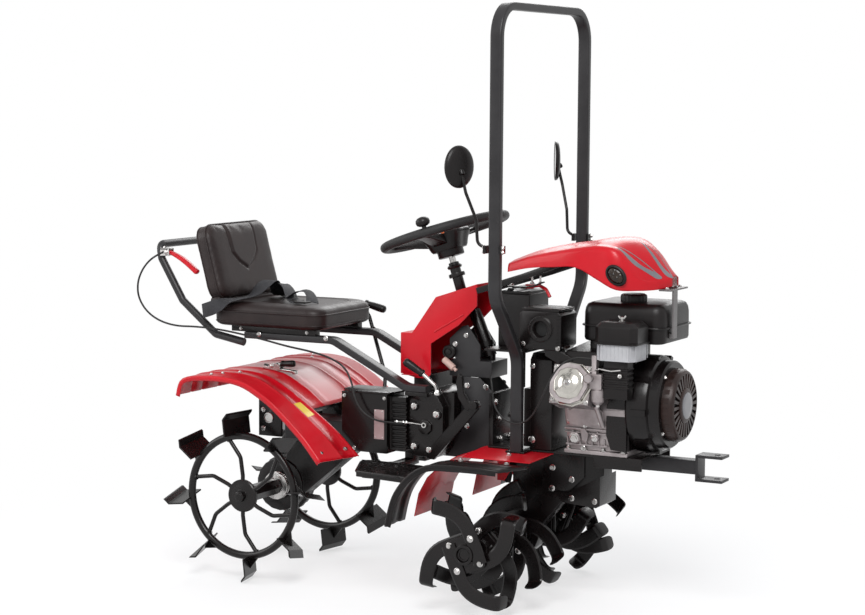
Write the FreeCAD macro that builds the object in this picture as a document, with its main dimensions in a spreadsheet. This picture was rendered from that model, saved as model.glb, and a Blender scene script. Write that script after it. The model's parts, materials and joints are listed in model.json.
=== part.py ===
"""Mini tractor with a seat over iron lug wheels, a front engine and a rotary tiller.

Frame: +X forward, +Y to the driver's left, +Z up, ground at Z = 0. Stations
along X are measured from the rear axle, and rear_axle_x carries them into the
frame of the finished part. Millimetres and degrees.
"""
import FreeCAD, Part
import math
import os
import re
import Sketcher
from FreeCAD import Placement, Rotation, Vector

SIZES = [
    # alias, value, what it is
    ("rear_axle_x", -533.34, "rear axle from the middle of the overall length"),
    ("fit_gap", 0.1, "radial clearance of a shaft in its bore"),
    ("rest_gap", 0.3, "clearance between pieces that only rest on each other"),
    ("cord_flats", 4, "flats round a cable"),
    # wheels
    ("axle_high", 260, "rear axle above ground, the outer radius over the lugs"),
    ("wheel_y", 254, "wheel plane from the centre line"),
    ("ring_radius", 184, "wheel ring, centre of the tube"),
    ("ring_tube", 12, "wheel ring, tube radius"),
    ("spoke_radius", 5.5, "wheel spoke, rod radius"),
    ("spoke_count", 6, "spokes in a wheel"),
    ("spoke_knee", 118, "knee of a spoke from the wheel centre"),
    ("spoke_lean", 8, "sideways reach of a spoke at its knee"),
    ("spoke_swing", 50, "sideways reach of a spoke at the ring"),
    ("hub_radius", 50, "wheel hub disc radius"),
    ("hub_thick", 14, "wheel hub disc thickness"),
    ("socket_radius", 23, "wheel socket radius"),
    ("socket_end", 72, "inner end of the wheel socket from the centre line"),
    ("pin_radius", 7, "radius of the pin boss on the wheel socket"),
    ("pin_reach", 31, "reach of the pin boss from the axle"),
    ("lug_count", 8, "lugs on a wheel"),
    ("lug_wide", 106, "lug width across the wheel"),
    ("lug_thick", 5, "lug plate thickness"),
    ("lug_foot", 26, "length of the turned tip of a lug"),
    ("lug_skew", 13, "sideways shift of each end of a lug"),
    ("gusset_thick", 6, "lug gusset thickness"),
    ("gusset_long", 46, "lug gusset length along the ring"),
    ("shaft_radius", 18, "half shaft radius"),
    ("shaft_end", 262, "outer end of a half shaft from the centre line"),
    ("collar_radius", 43, "bright seal collar radius"),
    ("collar_thick", 7, "bright seal collar thickness"),
    ("collar_waist", 34, "radius between the two rims of the seal collar"),
    # rear axle and frame
    ("axle_case_radius", 82, "final drive case radius"),
    ("axle_case_half", 42, "final drive case half width"),
    ("axle_rib", 8, "final drive case joint flange, proud of the case"),
    ("axle_rib_thick", 14, "final drive case joint flange thickness"),
    ("axle_arm_back", 30, "rear edge of the arm that joins the final drive to the frame"),
    ("axle_arm_front", 260, "front edge of the arm that joins the final drive to the frame"),
    ("frame_back", 30, "rear end of the frame box"),
    ("frame_front", 744, "front end of the frame box"),
    ("frame_low", 404, "underside of the frame box"),
    ("frame_high", 480, "top of the frame box"),
    ("frame_wide", 120, "frame box width"),
    ("gear_back", 486, "transmission case, rear face"),
    ("gear_front", 640, "transmission case, front face"),
    ("gear_wide", 200, "transmission case width"),
    ("gear_high", 602, "transmission case top"),
    ("gear_neck_back", 500, "cross pad on the transmission, rear face"),
    ("gear_neck_front", 575, "cross pad on the transmission, front face"),
    ("gear_neck_thick", 12, "cross pad on the transmission, thickness"),
    ("turret_back", 490, "turret under the steering cover, rear face"),
    ("turret_front", 546, "turret under the steering cover, front face"),
    ("rib_count", 11, "cooling ribs on the side case"),
    ("rib_deep", 5, "depth of the grooves between the cooling ribs"),
    ("rib_pitch", 13, "pitch of the cooling ribs"),
    ("side_case_out", 150, "ribbed side case, outer face from the centre line"),
    ("side_case_low", 425, "ribbed side case, underside"),
    ("side_case_high", 584, "ribbed side case, top"),
    ("side_case_front", 505, "ribbed side case, front face"),
    ("cast_out", 138, "side casting, outer face from the centre line"),
    ("boss_tall", 9, "bosses on the side casting, height"),
    ("side_box_back", 297, "side box, rear face"),
    ("side_box_front", 452, "side box, front face"),
    ("side_box_out", 170, "side box, outer face from the centre line"),
    ("side_box_high", 592, "side box, top under its lid"),
    ("lid_thick", 6, "side box lid thickness"),
    ("lid_over", 6, "side box lid overhang"),
    ("web_thick", 6, "frame web plate thickness"),
    ("web_high", 646, "frame web plate, top"),
    ("joint_thick", 14, "bolted joint plate thickness"),
    ("joint_half", 80, "bolted joint plate half width"),
    # rear fender and footrests
    ("fender_half", 330, "rear fender half width"),
    ("fender_sheet", 3, "rear fender sheet thickness"),
    ("fender_lip", 16, "depth of the turned edge of the rear fender"),
    ("fender_gap", 152, "half width of the cut-out round the side box and frame"),
    ("rib_high", 3, "height of the pressed ribs on the rear fender"),
    ("rib_wide", 9, "width of a pressed rib"),
    ("fender_ear", 194, "outer face of a fender support ear from the centre line"),
    ("ear_thick", 8, "fender support ear thickness"),
    ("support_pin", 16, "fender support pin radius"),
    ("support_x", 56, "fender support pin ahead of the rear axle"),
    ("foot_top", 390, "top of a footrest"),
    ("foot_thick", 4, "footrest plate thickness"),
    ("foot_lip", 18, "footrest edge depth"),
    ("foot_bar_back", 452, "footrest bar, rear face"),
    ("foot_bar_front", 482, "footrest bar, front face"),
    ("foot_bar_tall", 20, "footrest bar height"),
    # seat
    ("seat_half", 178, "half width of the seat"),
    ("seat_low", 766, "underside of the seat cushion"),
    ("seat_thick", 70, "seat cushion thickness"),
    ("seat_front", 226, "front of the seat cushion"),
    ("seat_back", -178, "rear of the seat cushion"),
    ("seat_corner", 50, "corner radius of the seat cushion"),
    ("back_thick", 62, "backrest thickness"),
    ("back_high", 1076, "top of the backrest"),
    ("back_lean", 66, "how far the top of the backrest leans back"),
    ("belt_wide", 46, "seat belt webbing width"),
    ("belt_thick", 3, "seat belt webbing thickness"),
    ("belt_x", -62, "seat belt webbing, middle of the run across the seat"),
    ("belt_left", 120, "left end of the seat belt from the centre line"),
    ("rail_y", 130, "seat rail from the centre line"),
    ("rail_tall", 20, "seat rail height"),
    ("rail_wide", 40, "seat rail width"),
    ("rail_top", 748, "top of the level part of the seat rails"),
    ("rail_bend", 60, "bend radius of the seat rails"),
    ("slide_back", -110, "seat slide, rear end"),
    ("slide_front", 190, "seat slide, front end"),
    ("slide_wide", 28, "seat slide width"),
    ("loop_radius", 12, "rear loop, tube radius"),
    ("loop_y", 150, "rear loop, tube centre from the centre line"),
    ("loop_x", -371, "rear loop, top tube behind the rear axle"),
    ("loop_high", 1006, "rear loop, top tube above ground"),
    ("loop_bend", 20, "bend radius of the rear loop"),
    # steering
    ("steer_x", 554, "steering wheel centre ahead of the rear axle"),
    ("steer_high", 1069, "steering wheel centre above ground"),
    ("steer_tilt", 18, "steering wheel axis back from upright, degrees"),
    ("steer_ring", 186, "steering wheel ring radius"),
    ("steer_grip", 14, "steering wheel grip radius"),
    ("steer_flats", 6, "flats round the steering wheel grip"),
    ("steer_pad", 68, "radius of the steering wheel's centre pad at its top"),
    ("steer_pad_low", 50, "radius of the centre pad at its foot"),
    ("steer_pad_deep", 46, "depth of the centre pad"),
    ("steer_collar", 40, "radius of the collar under the centre pad"),
    ("steer_collar_deep", 22, "depth of the collar under the centre pad"),
    ("steer_spoke", 34, "steering wheel spoke width"),
    ("steer_spoke_thick", 12, "steering wheel spoke thickness"),
    ("knob_radius", 21, "spinner knob radius"),
    ("knob_tall", 26, "spinner knob height"),
    ("knob_angle", 280, "spinner knob round the steering wheel, degrees"),
    ("steer_shaft", 10, "steering shaft radius"),
    ("steer_long", 182.2, "steering shaft, lower end below the wheel centre"),
    ("neck_radius", 16, "steering neck radius"),
    ("neck_long", 88, "steering neck length"),
    ("neck_ring", 24, "radius of the clamp ring on the steering neck"),
    ("column_radius", 19, "steering column tube radius"),
    ("column_long", 146, "steering column tube length"),
    ("column_foot_x", 710, "foot of the steering column ahead of the rear axle"),
    ("column_foot_high", 706, "foot of the steering column above ground"),
    ("column_slope", 0.42, "rearward lean of the steering column for its rise"),
    ("cover_half", 75, "half width of the steering cover"),
    ("cover_sheet", 3, "sheet thickness of the steering cover"),
    ("support_half", 53.6, "outer face of the steering side plates from the centre line"),
    ("support_plate", 6, "steering side plate thickness"),
    ("support_beam", 695, "top of the beam under the steering side plates"),
    # rollover bar
    ("bar_x", 868.5, "rollover bar centre ahead of the rear axle"),
    ("bar_deep", 35.4, "rollover bar tube depth along X"),
    ("bar_wide", 22.6, "rollover bar tube width along Y"),
    ("bar_half", 315, "rollover bar half width outside"),
    ("bar_high", 1737, "rollover bar top"),
    ("bar_leg_y", 150, "rollover bar lower leg from the centre line"),
    ("bar_knee_low", 728, "lower knee of the rollover bar"),
    ("bar_knee_high", 910, "upper knee of the rollover bar"),
    ("bar_bend", 90, "bend radius of the rollover bar at its top corners"),
    ("bar_foot", 30, "half length of the plate under a rollover bar leg"),
    # tiller
    ("rotor_x", 820, "tiller axis ahead of the rear axle"),
    ("rotor_high", 190, "tiller axis above ground, the radius over the blades"),
    ("rotor_shaft", 20, "tiller shaft radius"),
    ("rotor_half", 384, "tiller half width over its last flange"),
    ("flange_side", 104, "side of a square blade flange"),
    ("flange_thick", 8, "blade flange thickness"),
    ("flange_hub", 29, "blade flange hub radius"),
    ("blade_wide", 44, "blade width"),
    ("blade_thick", 6, "blade thickness"),
    ("blade_tip", 52, "length of the turned tip of a blade"),
    ("bank_count", 4, "blade flanges on each side"),
    ("bank_first", 96, "first blade flange from the centre line"),
    ("bank_step", 22.5, "turn from one blade flange to the next, degrees"),
    ("case_half", 30, "half width of the tiller case"),
    ("case_radius", 66, "bottom radius of the tiller case"),
    ("case_front", 1092, "front end of the tiller case"),
    ("case_cover", 5, "tiller case side cover, proud of the case"),
    ("gear_end_half", 60, "half width of the tiller gear housing"),
    # front frame, guard and footrests
    ("front_low", 450, "underside of the engine plate"),
    ("front_thick", 6, "engine plate thickness"),
    ("front_end", 1240, "front end of the engine plate"),
    ("front_half", 112, "half width of the engine plate"),
    ("front_rail", 30, "depth of the edges of the engine plate"),
    ("hitch_beam", 40, "front hitch beam, square side"),
    ("hitch_low", 410, "underside of the front hitch beam"),
    ("hitch_beam_end", 1370, "front end of the front hitch beam"),
    ("clevis_end", 1450, "front end of the clevis"),
    ("clevis_tall", 76, "clevis height"),
    ("clevis_wide", 60, "clevis width"),
    ("clevis_thick", 8, "clevis plate thickness"),
    ("clevis_hole", 9, "clevis hole radius"),
    ("clevis_pin", 24, "clevis hole from the front end of the clevis"),
    ("guard_sheet", 3, "guard sheet thickness"),
    ("guard_half", 286, "half width of the red tiller guard"),
    ("guard_right", 62, "inner edge of the right guard wall from the centre line"),
    ("guard_left", 92, "inner edge of the left guard wall from the centre line"),
    ("guard_front", 972, "front edge of the tiller guard"),
    ("fender_out", 400, "outer edge of a front fender"),
    ("wing_sheet", 3, "front fender sheet thickness"),
    ("wing_lip", 15, "depth of the rolled edge of a front fender"),
    ("wing_bead", 6, "width of the rolled edge of a front fender"),
    ("wing_cut", 46, "length of the cut front corner of a front fender"),
    # engine
    ("crank_high", 602, "crankshaft above ground"),
    ("block_back", 1000, "engine block, rear face"),
    ("block_front", 1196, "engine block, front face"),
    ("block_half", 112, "engine block half width"),
    ("block_top", 694, "engine block top"),
    ("base_thick", 13, "engine base flange thickness"),
    ("head_rise", 19, "cylinder above level, degrees"),
    ("head_x", 1052, "cylinder axis ahead of the rear axle"),
    ("head_long", 76, "cylinder and head beyond the block"),
    ("head_wide", 118, "cylinder and head width"),
    ("head_tall", 112, "cylinder and head height"),
    ("fin_count", 5, "cooling fins on the cylinder"),
    ("fin_pitch", 11, "pitch of the cooling fins"),
    ("fin_deep", 10, "depth of the cooling fins"),
    ("cap_deep", 20, "valve cover depth"),
    ("cap_crown", 30, "radius of the raised middle of the valve cover"),
    ("cap_crown_tall", 5, "height of the raised middle of the valve cover"),
    ("shroud_front", 1292, "fan shroud, front face"),
    ("shroud_step", 1262, "fan shroud, shoulder"),
    ("shroud_radius", 140, "fan shroud radius"),
    ("shroud_small", 126, "fan shroud radius ahead of the shoulder"),
    ("recoil_radius", 104, "recoil starter radius"),
    ("recoil_deep", 36, "recoil starter depth"),
    ("slot_count", 20, "air slots round the recoil starter"),
    ("slot_wide", 8, "air slot width"),
    ("tank_back", 1040, "fuel tank, rear face"),
    ("tank_front", 1290, "fuel tank, front face"),
    ("tank_right", -92, "fuel tank, right face from the centre line"),
    ("tank_left", 140, "fuel tank, left face from the centre line"),
    ("tank_low", 780, "underside of the fuel tank"),
    ("tank_high", 892, "top of the fuel tank"),
    ("tank_corner", 34, "fuel tank corner radius"),
    ("tank_bevel", 16, "fuel tank top bevel"),
    ("seam_high", 824, "fuel tank seam above ground"),
    ("seam_thick", 4, "fuel tank seam thickness"),
    ("seam_over", 6, "fuel tank seam, proud of the tank"),
    ("filler_x", 1164, "fuel filler ahead of the rear axle"),
    ("filler_radius", 38, "fuel cap radius"),
    ("filler_tall", 23, "fuel cap height"),
    ("muffler_back", 873, "muffler, rear face"),
    ("muffler_front", 1004, "muffler, front face"),
    ("muffler_out", -150, "muffler, right face from the centre line"),
    ("muffler_in", -40, "muffler, left face from the centre line"),
    ("muffler_low", 754, "underside of the muffler"),
    ("muffler_high", 864, "top of the muffler"),
    ("muffler_corner", 10, "muffler corner radius"),
    ("outlet_x", 941, "muffler outlet ahead of the rear axle"),
    ("outlet_high", 813, "muffler outlet above ground"),
    ("outlet_radius", 22, "muffler outlet radius"),
    ("outlet_ring", 36, "muffler outlet ring radius"),
    ("outlet_tall", 5, "muffler outlet ring, proud of the muffler"),
    ("filter_back", 1128, "air cleaner, rear face"),
    ("filter_front", 1256, "air cleaner, front face"),
    ("filter_out", -212, "air cleaner, right face from the centre line"),
    ("filter_in", -98, "air cleaner, left face from the centre line"),
    ("filter_high", 850, "air cleaner top"),
    ("filter_split", 792, "joint between the air cleaner and its bowl"),
    ("filter_low", 742, "underside of the air cleaner bowl"),
    ("filter_bevel", 18, "air cleaner top bevel"),
    ("bowl_inset", 4, "how far the air cleaner bowl stands in from the cover"),
    ("duct_back", 1150, "air duct, rear face"),
    ("duct_front", 1222, "air duct, front face"),
    ("duct_low", 632, "air duct, underside"),
    ("duct_out", -183, "air duct, right face from the centre line"),
    ("duct_in", -141, "air duct, left face from the centre line"),
    ("head_root", 118, "joint of the cylinder and the block from the crankshaft"),
    ("hood_sheet", 4, "hood shell thickness"),
]

# Outlines in one plane, each corner an across and an up. Heights are above ground
# and stations ahead of the rear axle.
PROFILES = {
    "wall": [(606, 262), (620, 330), (648, 380), (690, 418), (737, 447)],
    "wing": [(575, 250), (584, 291), (596, 330), (611, 358), (631, 384), (655, 407), (685, 426),
             (720, 437), (775, 440), (860, 441), (972, 438)],
    "crest": [(-194, 564), (-168, 618), (-60, 632), (40, 622), (117, 586), (162, 556), (214, 512),
              (265, 464), (318, 402)],
    "cover": [(446, 646), (446, 768), (484, 769), (563, 880), (700, 925), (700, 860), (640, 800),
              (548, 740), (548, 648), (536, 634), (500, 634)],
    "cheek": [(599, 757), (640, 795), (659, 800), (701, 740), (701, 695), (622, 695), (600, 725)],
    "web": [(642, 480), (744, 480), (744, 606), (704, 646), (642, 646)],
    "cast": [(505, 440), (530, 410), (600, 410), (622, 440), (622, 560), (600, 598), (505, 598)],
    "deck": [(759, 286), (737, 110), (737, 82), (760, 82), (760, 36), (963, 42), (972, 286)],
    "ear": [(760, 345), (784, 345), (800, 372), (800, 447), (760, 447)],
    "foot": [(442, 337), (619, 366), (585, 179), (366, 167)],
    "tread": [(445, 333), (615, 361), (582, 182), (371, 171)],
    "chain": [(801, 280), (801, 374), (758, 404), (758, 450), (1092, 450), (1092, 372), (960, 300),
              (884, 206)],
    "chest": [(898, 330), (898, 446), (1032, 446), (1032, 374), (984, 328)],
    "gears": [(963, 312), (975, 300), (1080, 292), (1092, 300), (1092, 384), (1075, 374)],
    "cap": [(-58, 8), (-40, 46), (-12, 58), (26, 54), (54, 30), (58, -8), (40, -46), (12, -58),
            (-26, -54), (-54, -30)],
}

# Stations along the hood: ahead of the rear axle, half width, crown, shoulder and edge.
HOOD = [
    (808, 96, 1004, 996, 968),
    (880, 108, 1031, 1020, 983),
    (960, 122, 1050, 1038, 990),
    (1040, 136, 1063, 1052, 993),
    (1110, 148, 1075, 1060, 963),
    (1170, 152, 1074, 1050, 937),
    (1225, 113, 1044, 997, 934),
    (1265, 66, 997, 974, 936),
    (1290, 24, 972, 968, 943),
]

# Where each cable runs, a corner to a row.
CLUTCH_RUN = [
    (-346, -165, 984), (-358, -199, 972), (-386, -206, 946), (-414, -198, 912), (-434, -184, 876),
    (-436, -175, 836),
    (-410, -172, 796), (-364, -171, 768), (-300, -170, 754), (-222, -171, 757), (-140, -170, 753),
    (-58, -170, 743),
    (24, -169, 730), (104, -165, 714), (180, -161, 704), (248, -161, 690), (304, -166, 666),
    (336, -179, 626),
    (352, -189, 578), (377, -187, 536), (418, -182, 514), (462, -175, 510), (505, -172, 510),
]
THROTTLE_RUN = [
    (743, -66, 660), (762, -104, 640), (788, -146, 618), (806, -172, 586), (825, -174, 558),
    (850, -172, 542), (879, -174, 537), (911, -176, 548), (938, -190, 572), (966, -212, 608),
    (994, -234, 650), (1020, -244, 696), (1040, -222, 730), (1066, -190, 744), (1090, -177, 742),
    (1115, -177, 742),
]

# Middle line of a tiller blade: sideways and outward from the tiller axis.
TINE = [(39, -40), (38, 72), (8, 128), (-50, 163)]

doc = FreeCAD.newDocument("MiniTractor")
sheet = doc.addObject("Spreadsheet::Sheet", "Sizes")
cells_used = list(SIZES)
for word, corners in PROFILES.items():
    for place, (across, up) in enumerate(corners, 1):
        cells_used.append((f"{word}_a{place}", across, f"{word} outline, corner {place} across"))
        cells_used.append((f"{word}_b{place}", up, f"{word} outline, corner {place} up"))
for row, (alias, number, meaning) in enumerate(cells_used, 1):
    sheet.set(f"A{row}", meaning)
    sheet.set(f"B{row}", str(number))
    sheet.setAlias(f"B{row}", alias)
doc.recompute()
ALIASES = {alias for alias, number, meaning in cells_used}
NODES = []


# ---------------------------------------------------------------- expressions

def cells(text):
    """The expression with the name of each size pointed at the sheet."""
    return re.sub(r"[a-z][a-z0-9_]*", lambda m: f"Sizes.{m[0]}" if m[0] in ALIASES else m[0], str(text))


def size(text):
    """What an expression comes to."""
    return float(sheet.evalExpression(cells(text)))


def bind(thing, target, text):
    thing.setExpression(target, cells(text))


def finish(thing, name):
    """Make an object a sub-part: named, and carried into the part's frame."""
    thing.Label = name
    bind(thing, "Placement.Base.x", "rear_axle_x")
    NODES.append(thing)
    return thing


def profile(word):
    """The corners of an outline as the names of its cells."""
    return [(f"{word}_a{place}", f"{word}_b{place}") for place in range(1, len(PROFILES[word]) + 1)]


def band(word, thick):
    """An outline followed by its copy set in below, for sheet bent along it."""
    line = profile(word)
    spots = [Vector(size(x), size(y), 0) for x, y in line]
    inner = []
    for place, (x, y) in enumerate(line):
        before = spots[max(place - 1, 0)]
        after = spots[min(place + 1, len(spots) - 1)]
        along = (after - before).normalize()
        inner.append((f"{x} + {along.y:.4f} * ({thick})", f"{y} - {along.x:.4f} * ({thick})"))
    return line + inner[::-1]


# ---------------------------------------------------------------- sketches and pads

def new_body(name):
    return finish(doc.addObject("PartDesign::Body", name), name)


def new_sketch(body, plane, offset, turn=None):
    """A sketch on an origin plane of its own body, moved along that plane's normal."""
    sketch = body.newObject("Sketcher::SketchObject", "Sketch")
    support = next(f for f in body.Origin.OriginFeatures if f.Role == f"{plane}_Plane")
    sketch.AttachmentSupport = [(support, "")]
    sketch.MapMode = "FlatFace"
    sign = -1 if plane == "XZ" else 1
    if turn is not None:
        sketch.AttachmentOffset = Placement(Vector(0, 0, 0), Rotation(Vector(0, 0, 1), 1))
        bind(sketch, "AttachmentOffset.Rotation.Angle", turn)
    bind(sketch, "AttachmentOffset.Base.z", f"{sign} * ({offset})")
    return sketch


def outline(sketch, points):
    """Straight edges round the points, each coordinate held by its own expression."""
    first = sketch.GeometryCount
    count = len(points)
    spots = [Vector(size(x), size(y), 0) for x, y in points]
    edges = [Part.LineSegment(spots[i], spots[(i + 1) % count]) for i in range(count)]
    sketch.addGeometry(edges)
    for i in range(count):
        sketch.addConstraint(Sketcher.Constraint("Coincident", first + i, 2, first + (i + 1) % count, 1))
    for i, (x, y) in enumerate(points):
        across = sketch.addConstraint(Sketcher.Constraint("DistanceX", -1, 1, first + i, 1, spots[i].x))
        bind(sketch, f"Constraints[{across}]", x)
        up = sketch.addConstraint(Sketcher.Constraint("DistanceY", -1, 1, first + i, 1, spots[i].y))
        bind(sketch, f"Constraints[{up}]", y)


def circle(sketch, x, y, radius):
    """A circle held by its centre and radius."""
    spot = Vector(size(x), size(y), 0)
    index = sketch.addGeometry(Part.Circle(spot, Vector(0, 0, 1), size(radius)))
    across = sketch.addConstraint(Sketcher.Constraint("DistanceX", -1, 1, index, 3, spot.x))
    bind(sketch, f"Constraints[{across}]", x)
    up = sketch.addConstraint(Sketcher.Constraint("DistanceY", -1, 1, index, 3, spot.y))
    bind(sketch, f"Constraints[{up}]", y)
    wide = sketch.addConstraint(Sketcher.Constraint("Radius", index, size(radius)))
    bind(sketch, f"Constraints[{wide}]", radius)


def push(body, plane, start, stop, kind, draw, turn=None):
    """A pad or pocket of a drawn profile from one offset of its plane to another."""
    sketch = new_sketch(body, plane, f"(({start}) + ({stop})) / 2", turn)
    draw(sketch)
    feature = body.newObject(f"PartDesign::{kind}", kind)
    feature.Profile = sketch
    feature.SideType = "Symmetric"
    bind(feature, "Length", f"abs(({stop}) - ({start}))")
    return feature


def slab(body, plane, points, start, stop, kind="Pad", turn=None):
    return push(body, plane, start, stop, kind, lambda sketch: outline(sketch, points), turn)


def disc(body, plane, x, y, radius, start, stop, kind="Pad"):
    return push(body, plane, start, stop, kind, lambda sketch: circle(sketch, x, y, radius))


def drum(body, plane, x, y, radius, start, stop, count, kind="Pad"):
    """A disc with flats round its edge, for castings and bosses that nothing turns in."""
    return slab(body, plane, flats(x, y, f"({radius}) * {1 / math.cos(math.pi / count / 1.8):.5f}", count),
                start, stop, kind)


def block(body, x, y, z, kind="Pad"):
    """A box between two stations on each axis."""
    corners = [(x[0], y[0]), (x[1], y[0]), (x[1], y[1]), (x[0], y[1])]
    return slab(body, "XY", corners, z[0], z[1], kind)


def flats(x, y, radius, count, turn="0"):
    """The corners of a regular outline round a centre, its first flat squarely across."""
    corners = []
    for place in range(count):
        angle = f"({turn} + {360 * (place + 0.5) / count})"
        corners.append((f"{x} + ({radius}) * cos({angle})", f"{y} + ({radius}) * sin({angle})"))
    return corners


def mirror(body, features):
    """Repeat features on the other side of the centre line."""
    feature = body.newObject("PartDesign::Mirrored", "Mirrored")
    feature.Originals = features
    plane = next(f for f in body.Origin.OriginFeatures if f.Role == "XZ_Plane")
    feature.MirrorPlane = (plane, [""])
    body.Tip = feature
    return feature


def spin(body, features, axis, count):
    """Repeat features evenly round one of the body's own axes."""
    feature = body.newObject("PartDesign::PolarPattern", "PolarPattern")
    feature.Originals = features
    line = next(f for f in body.Origin.OriginFeatures if f.Role == f"{axis}_Axis")
    feature.Axis = (line, [""])
    feature.Angle = 360
    bind(feature, "Occurrences", count)
    body.Tip = feature
    return feature


def row(body, features, axis, count, pitch, backward=False):
    """Repeat features in a straight row along one of the body's own axes."""
    feature = body.newObject("PartDesign::LinearPattern", "LinearPattern")
    feature.Originals = features
    line = next(f for f in body.Origin.OriginFeatures if f.Role == f"{axis}_Axis")
    feature.Direction = (line, [""])
    feature.Reversed = backward
    bind(feature, "Occurrences", count)
    bind(feature, "Length", f"({count} - 1) * {pitch}")
    body.Tip = feature
    return feature


def round_edges(body, radius, test, kind="Fillet"):
    """Round or bevel the edges of the body so far that pass a test."""
    doc.recompute()
    base = body.Tip
    names = [f"Edge{i}" for i, edge in enumerate(base.Shape.Edges, 1) if test(edge)]
    feature = body.newObject(f"PartDesign::{kind}", kind)
    feature.Base = (base, names)
    bind(feature, "Radius" if kind == "Fillet" else "Size", radius)
    return feature


def runs_along(axis, above=None):
    """A test for straight edges parallel to an axis, above a height if one is given."""
    wanted = {"X": Vector(1, 0, 0), "Y": Vector(0, 1, 0), "Z": Vector(0, 0, 1)}[axis]

    def test(edge):
        if not isinstance(edge.Curve, Part.Line):
            return False
        if above is not None and edge.CenterOfMass.z < size(above):
            return False
        return edge.Curve.Direction.cross(wanted).Length < 1e-6
    return test


def lies_at(height):
    """A test for edges that lie level at one height."""
    def test(edge):
        return abs(edge.BoundBox.ZMax - size(height)) < 1e-3 and edge.BoundBox.ZLength < 1e-3
    return test


# ---------------------------------------------------------------- shapes along a path

def bent_path(points, bend=None):
    """Straight runs joined by tangent arcs of one radius, or as wide as each bend allows."""
    edges = []
    radii = []
    start = points[0]
    for before, corner, after in zip(points, points[1:], points[2:]):
        into = (corner - before).normalize()
        away = (after - corner).normalize()
        turn = into.getAngle(away)
        shorter = min((corner - before).Length, (after - corner).Length)
        radius = bend or 0.45 * shorter / math.tan(turn / 2)
        reach = radius * math.tan(turn / 2)
        enter = corner - into * reach
        leave = corner + away * reach
        middle = (away - into).normalize()
        centre = corner + middle * (radius / math.cos(turn / 2))
        halfway = centre - middle * radius
        edges.append(Part.LineSegment(start, enter).toShape())
        edges.append(Part.Arc(enter, halfway, leave).toShape())
        radii.append(radius)
        start = leave
    edges.append(Part.LineSegment(start, points[-1]).toShape())
    return Part.Wire(edges), radii


def swept(section, path, normal=None):
    """A solid of one section along a path, held level to a normal if one is given."""
    maker = Part.BRepOffsetAPI.MakePipeShell(path)
    if normal is not None:
        maker.setBiNormalMode(normal)
    maker.add(section)
    maker.build()
    maker.makeSolid()
    return maker.shape()


def looped(corners):
    """The closed outline through some corners."""
    return Part.makePolygon([*corners, corners[0]])


def rim(centre, along, radius, count):
    """The corners of a regular outline square to a direction, of the same area as the round one."""
    axis = Vector(along).normalize()
    side = axis.cross(Vector(0, 1, 0))
    if side.Length < 0.1:
        side = axis.cross(Vector(0, 0, 1))
    side = side.normalize()
    up = axis.cross(side)
    reach = radius * math.sqrt(2 * math.pi / (count * math.sin(2 * math.pi / count)))
    corners = []
    for place in range(count):
        angle = 2 * math.pi * (place + 0.5) / count
        corners.append(centre + side * (reach * math.cos(angle)) + up * (reach * math.sin(angle)))
    return corners


def round_bar(points, radius, bend, count):
    """A bar or tube through the points, its section and its bends in flats."""
    line = [points[0]]
    for before, corner, after in zip(points, points[1:], points[2:]):
        into = (corner - before).normalize()
        away = (after - corner).normalize()
        turn = into.getAngle(away)
        steps = max(1, round(math.degrees(turn) / 22))
        square = (away - into * into.dot(away)).normalize()
        centre = corner - into * (bend * math.tan(turn / 2)) + square * bend
        outside = bend / math.cos(turn / steps / 2)
        for step in range(steps):
            angle = turn * (step + 0.5) / steps
            line.append(centre + into * (outside * math.sin(angle)) - square * (outside * math.cos(angle)))
    line.append(points[-1])
    rows = [rim(line[0], line[1] - line[0], radius, count)]
    for before, corner, after in zip(line, line[1:], line[2:] + [line[-1] * 2 - line[-2]]):
        into = (corner - before).normalize()
        face = (into + (after - corner).normalize()).normalize()
        rows.append([point + into * ((corner - point).dot(face) / into.dot(face)) for point in rows[-1]])
    return skinned(rows)


def rod(foot, head, radius, count):
    """A straight faceted rod between two points."""
    return Part.Face(looped(rim(foot, head - foot, radius, count))).extrude(head - foot)


def flat_bar(points, wide, tall, bend, across=Vector(0, 1, 0)):
    """A flat bar through points that lie in one plane, its width square to that plane."""
    along = (points[1] - points[0]).normalize()
    up = along.cross(across).normalize()
    start = points[0]
    side = across * (wide / 2)
    rise = up * (tall / 2)
    corners = [start - side - rise, start + side - rise, start + side + rise, start - side + rise]
    section = Part.makePolygon(corners + corners[:1])
    path, radii = bent_path(points, bend)
    return swept(section, path, across)


def cord(name, run, radius):
    """A cable through its corners, with its bends and volume reported."""
    points = [Vector(*corner) for corner in run]
    path, radii = bent_path(points)
    section = rim(points[0], points[1] - points[0], radius, int(size("cord_flats")))
    shape = swept(looped(section), path)
    share = shape.Volume / (math.pi * radius ** 2 * path.Length)
    bends = " ".join(f"{bend:.0f}" for bend in radii)
    print(f"{name}: length {path.Length:.0f}, bends {bends}, volume over section by length {share:.3f}")
    return shape_node(name, [shape])


def shape_node(name, shapes):
    """A sub-part whose shape is worked out above: one solid, or several that don't touch."""
    thing = doc.addObject("Part::Feature", name)
    thing.Shape = Part.makeCompound(shapes)
    return finish(thing, name)


def both_sides(shape):
    """A shape and its mirror image across the centre line."""
    return [shape, shape.mirror(Vector(0, 0, 0), Vector(0, 1, 0))]


def spot(x, y, z):
    """A point from three expressions."""
    return Vector(size(x), size(y), size(z))


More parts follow.
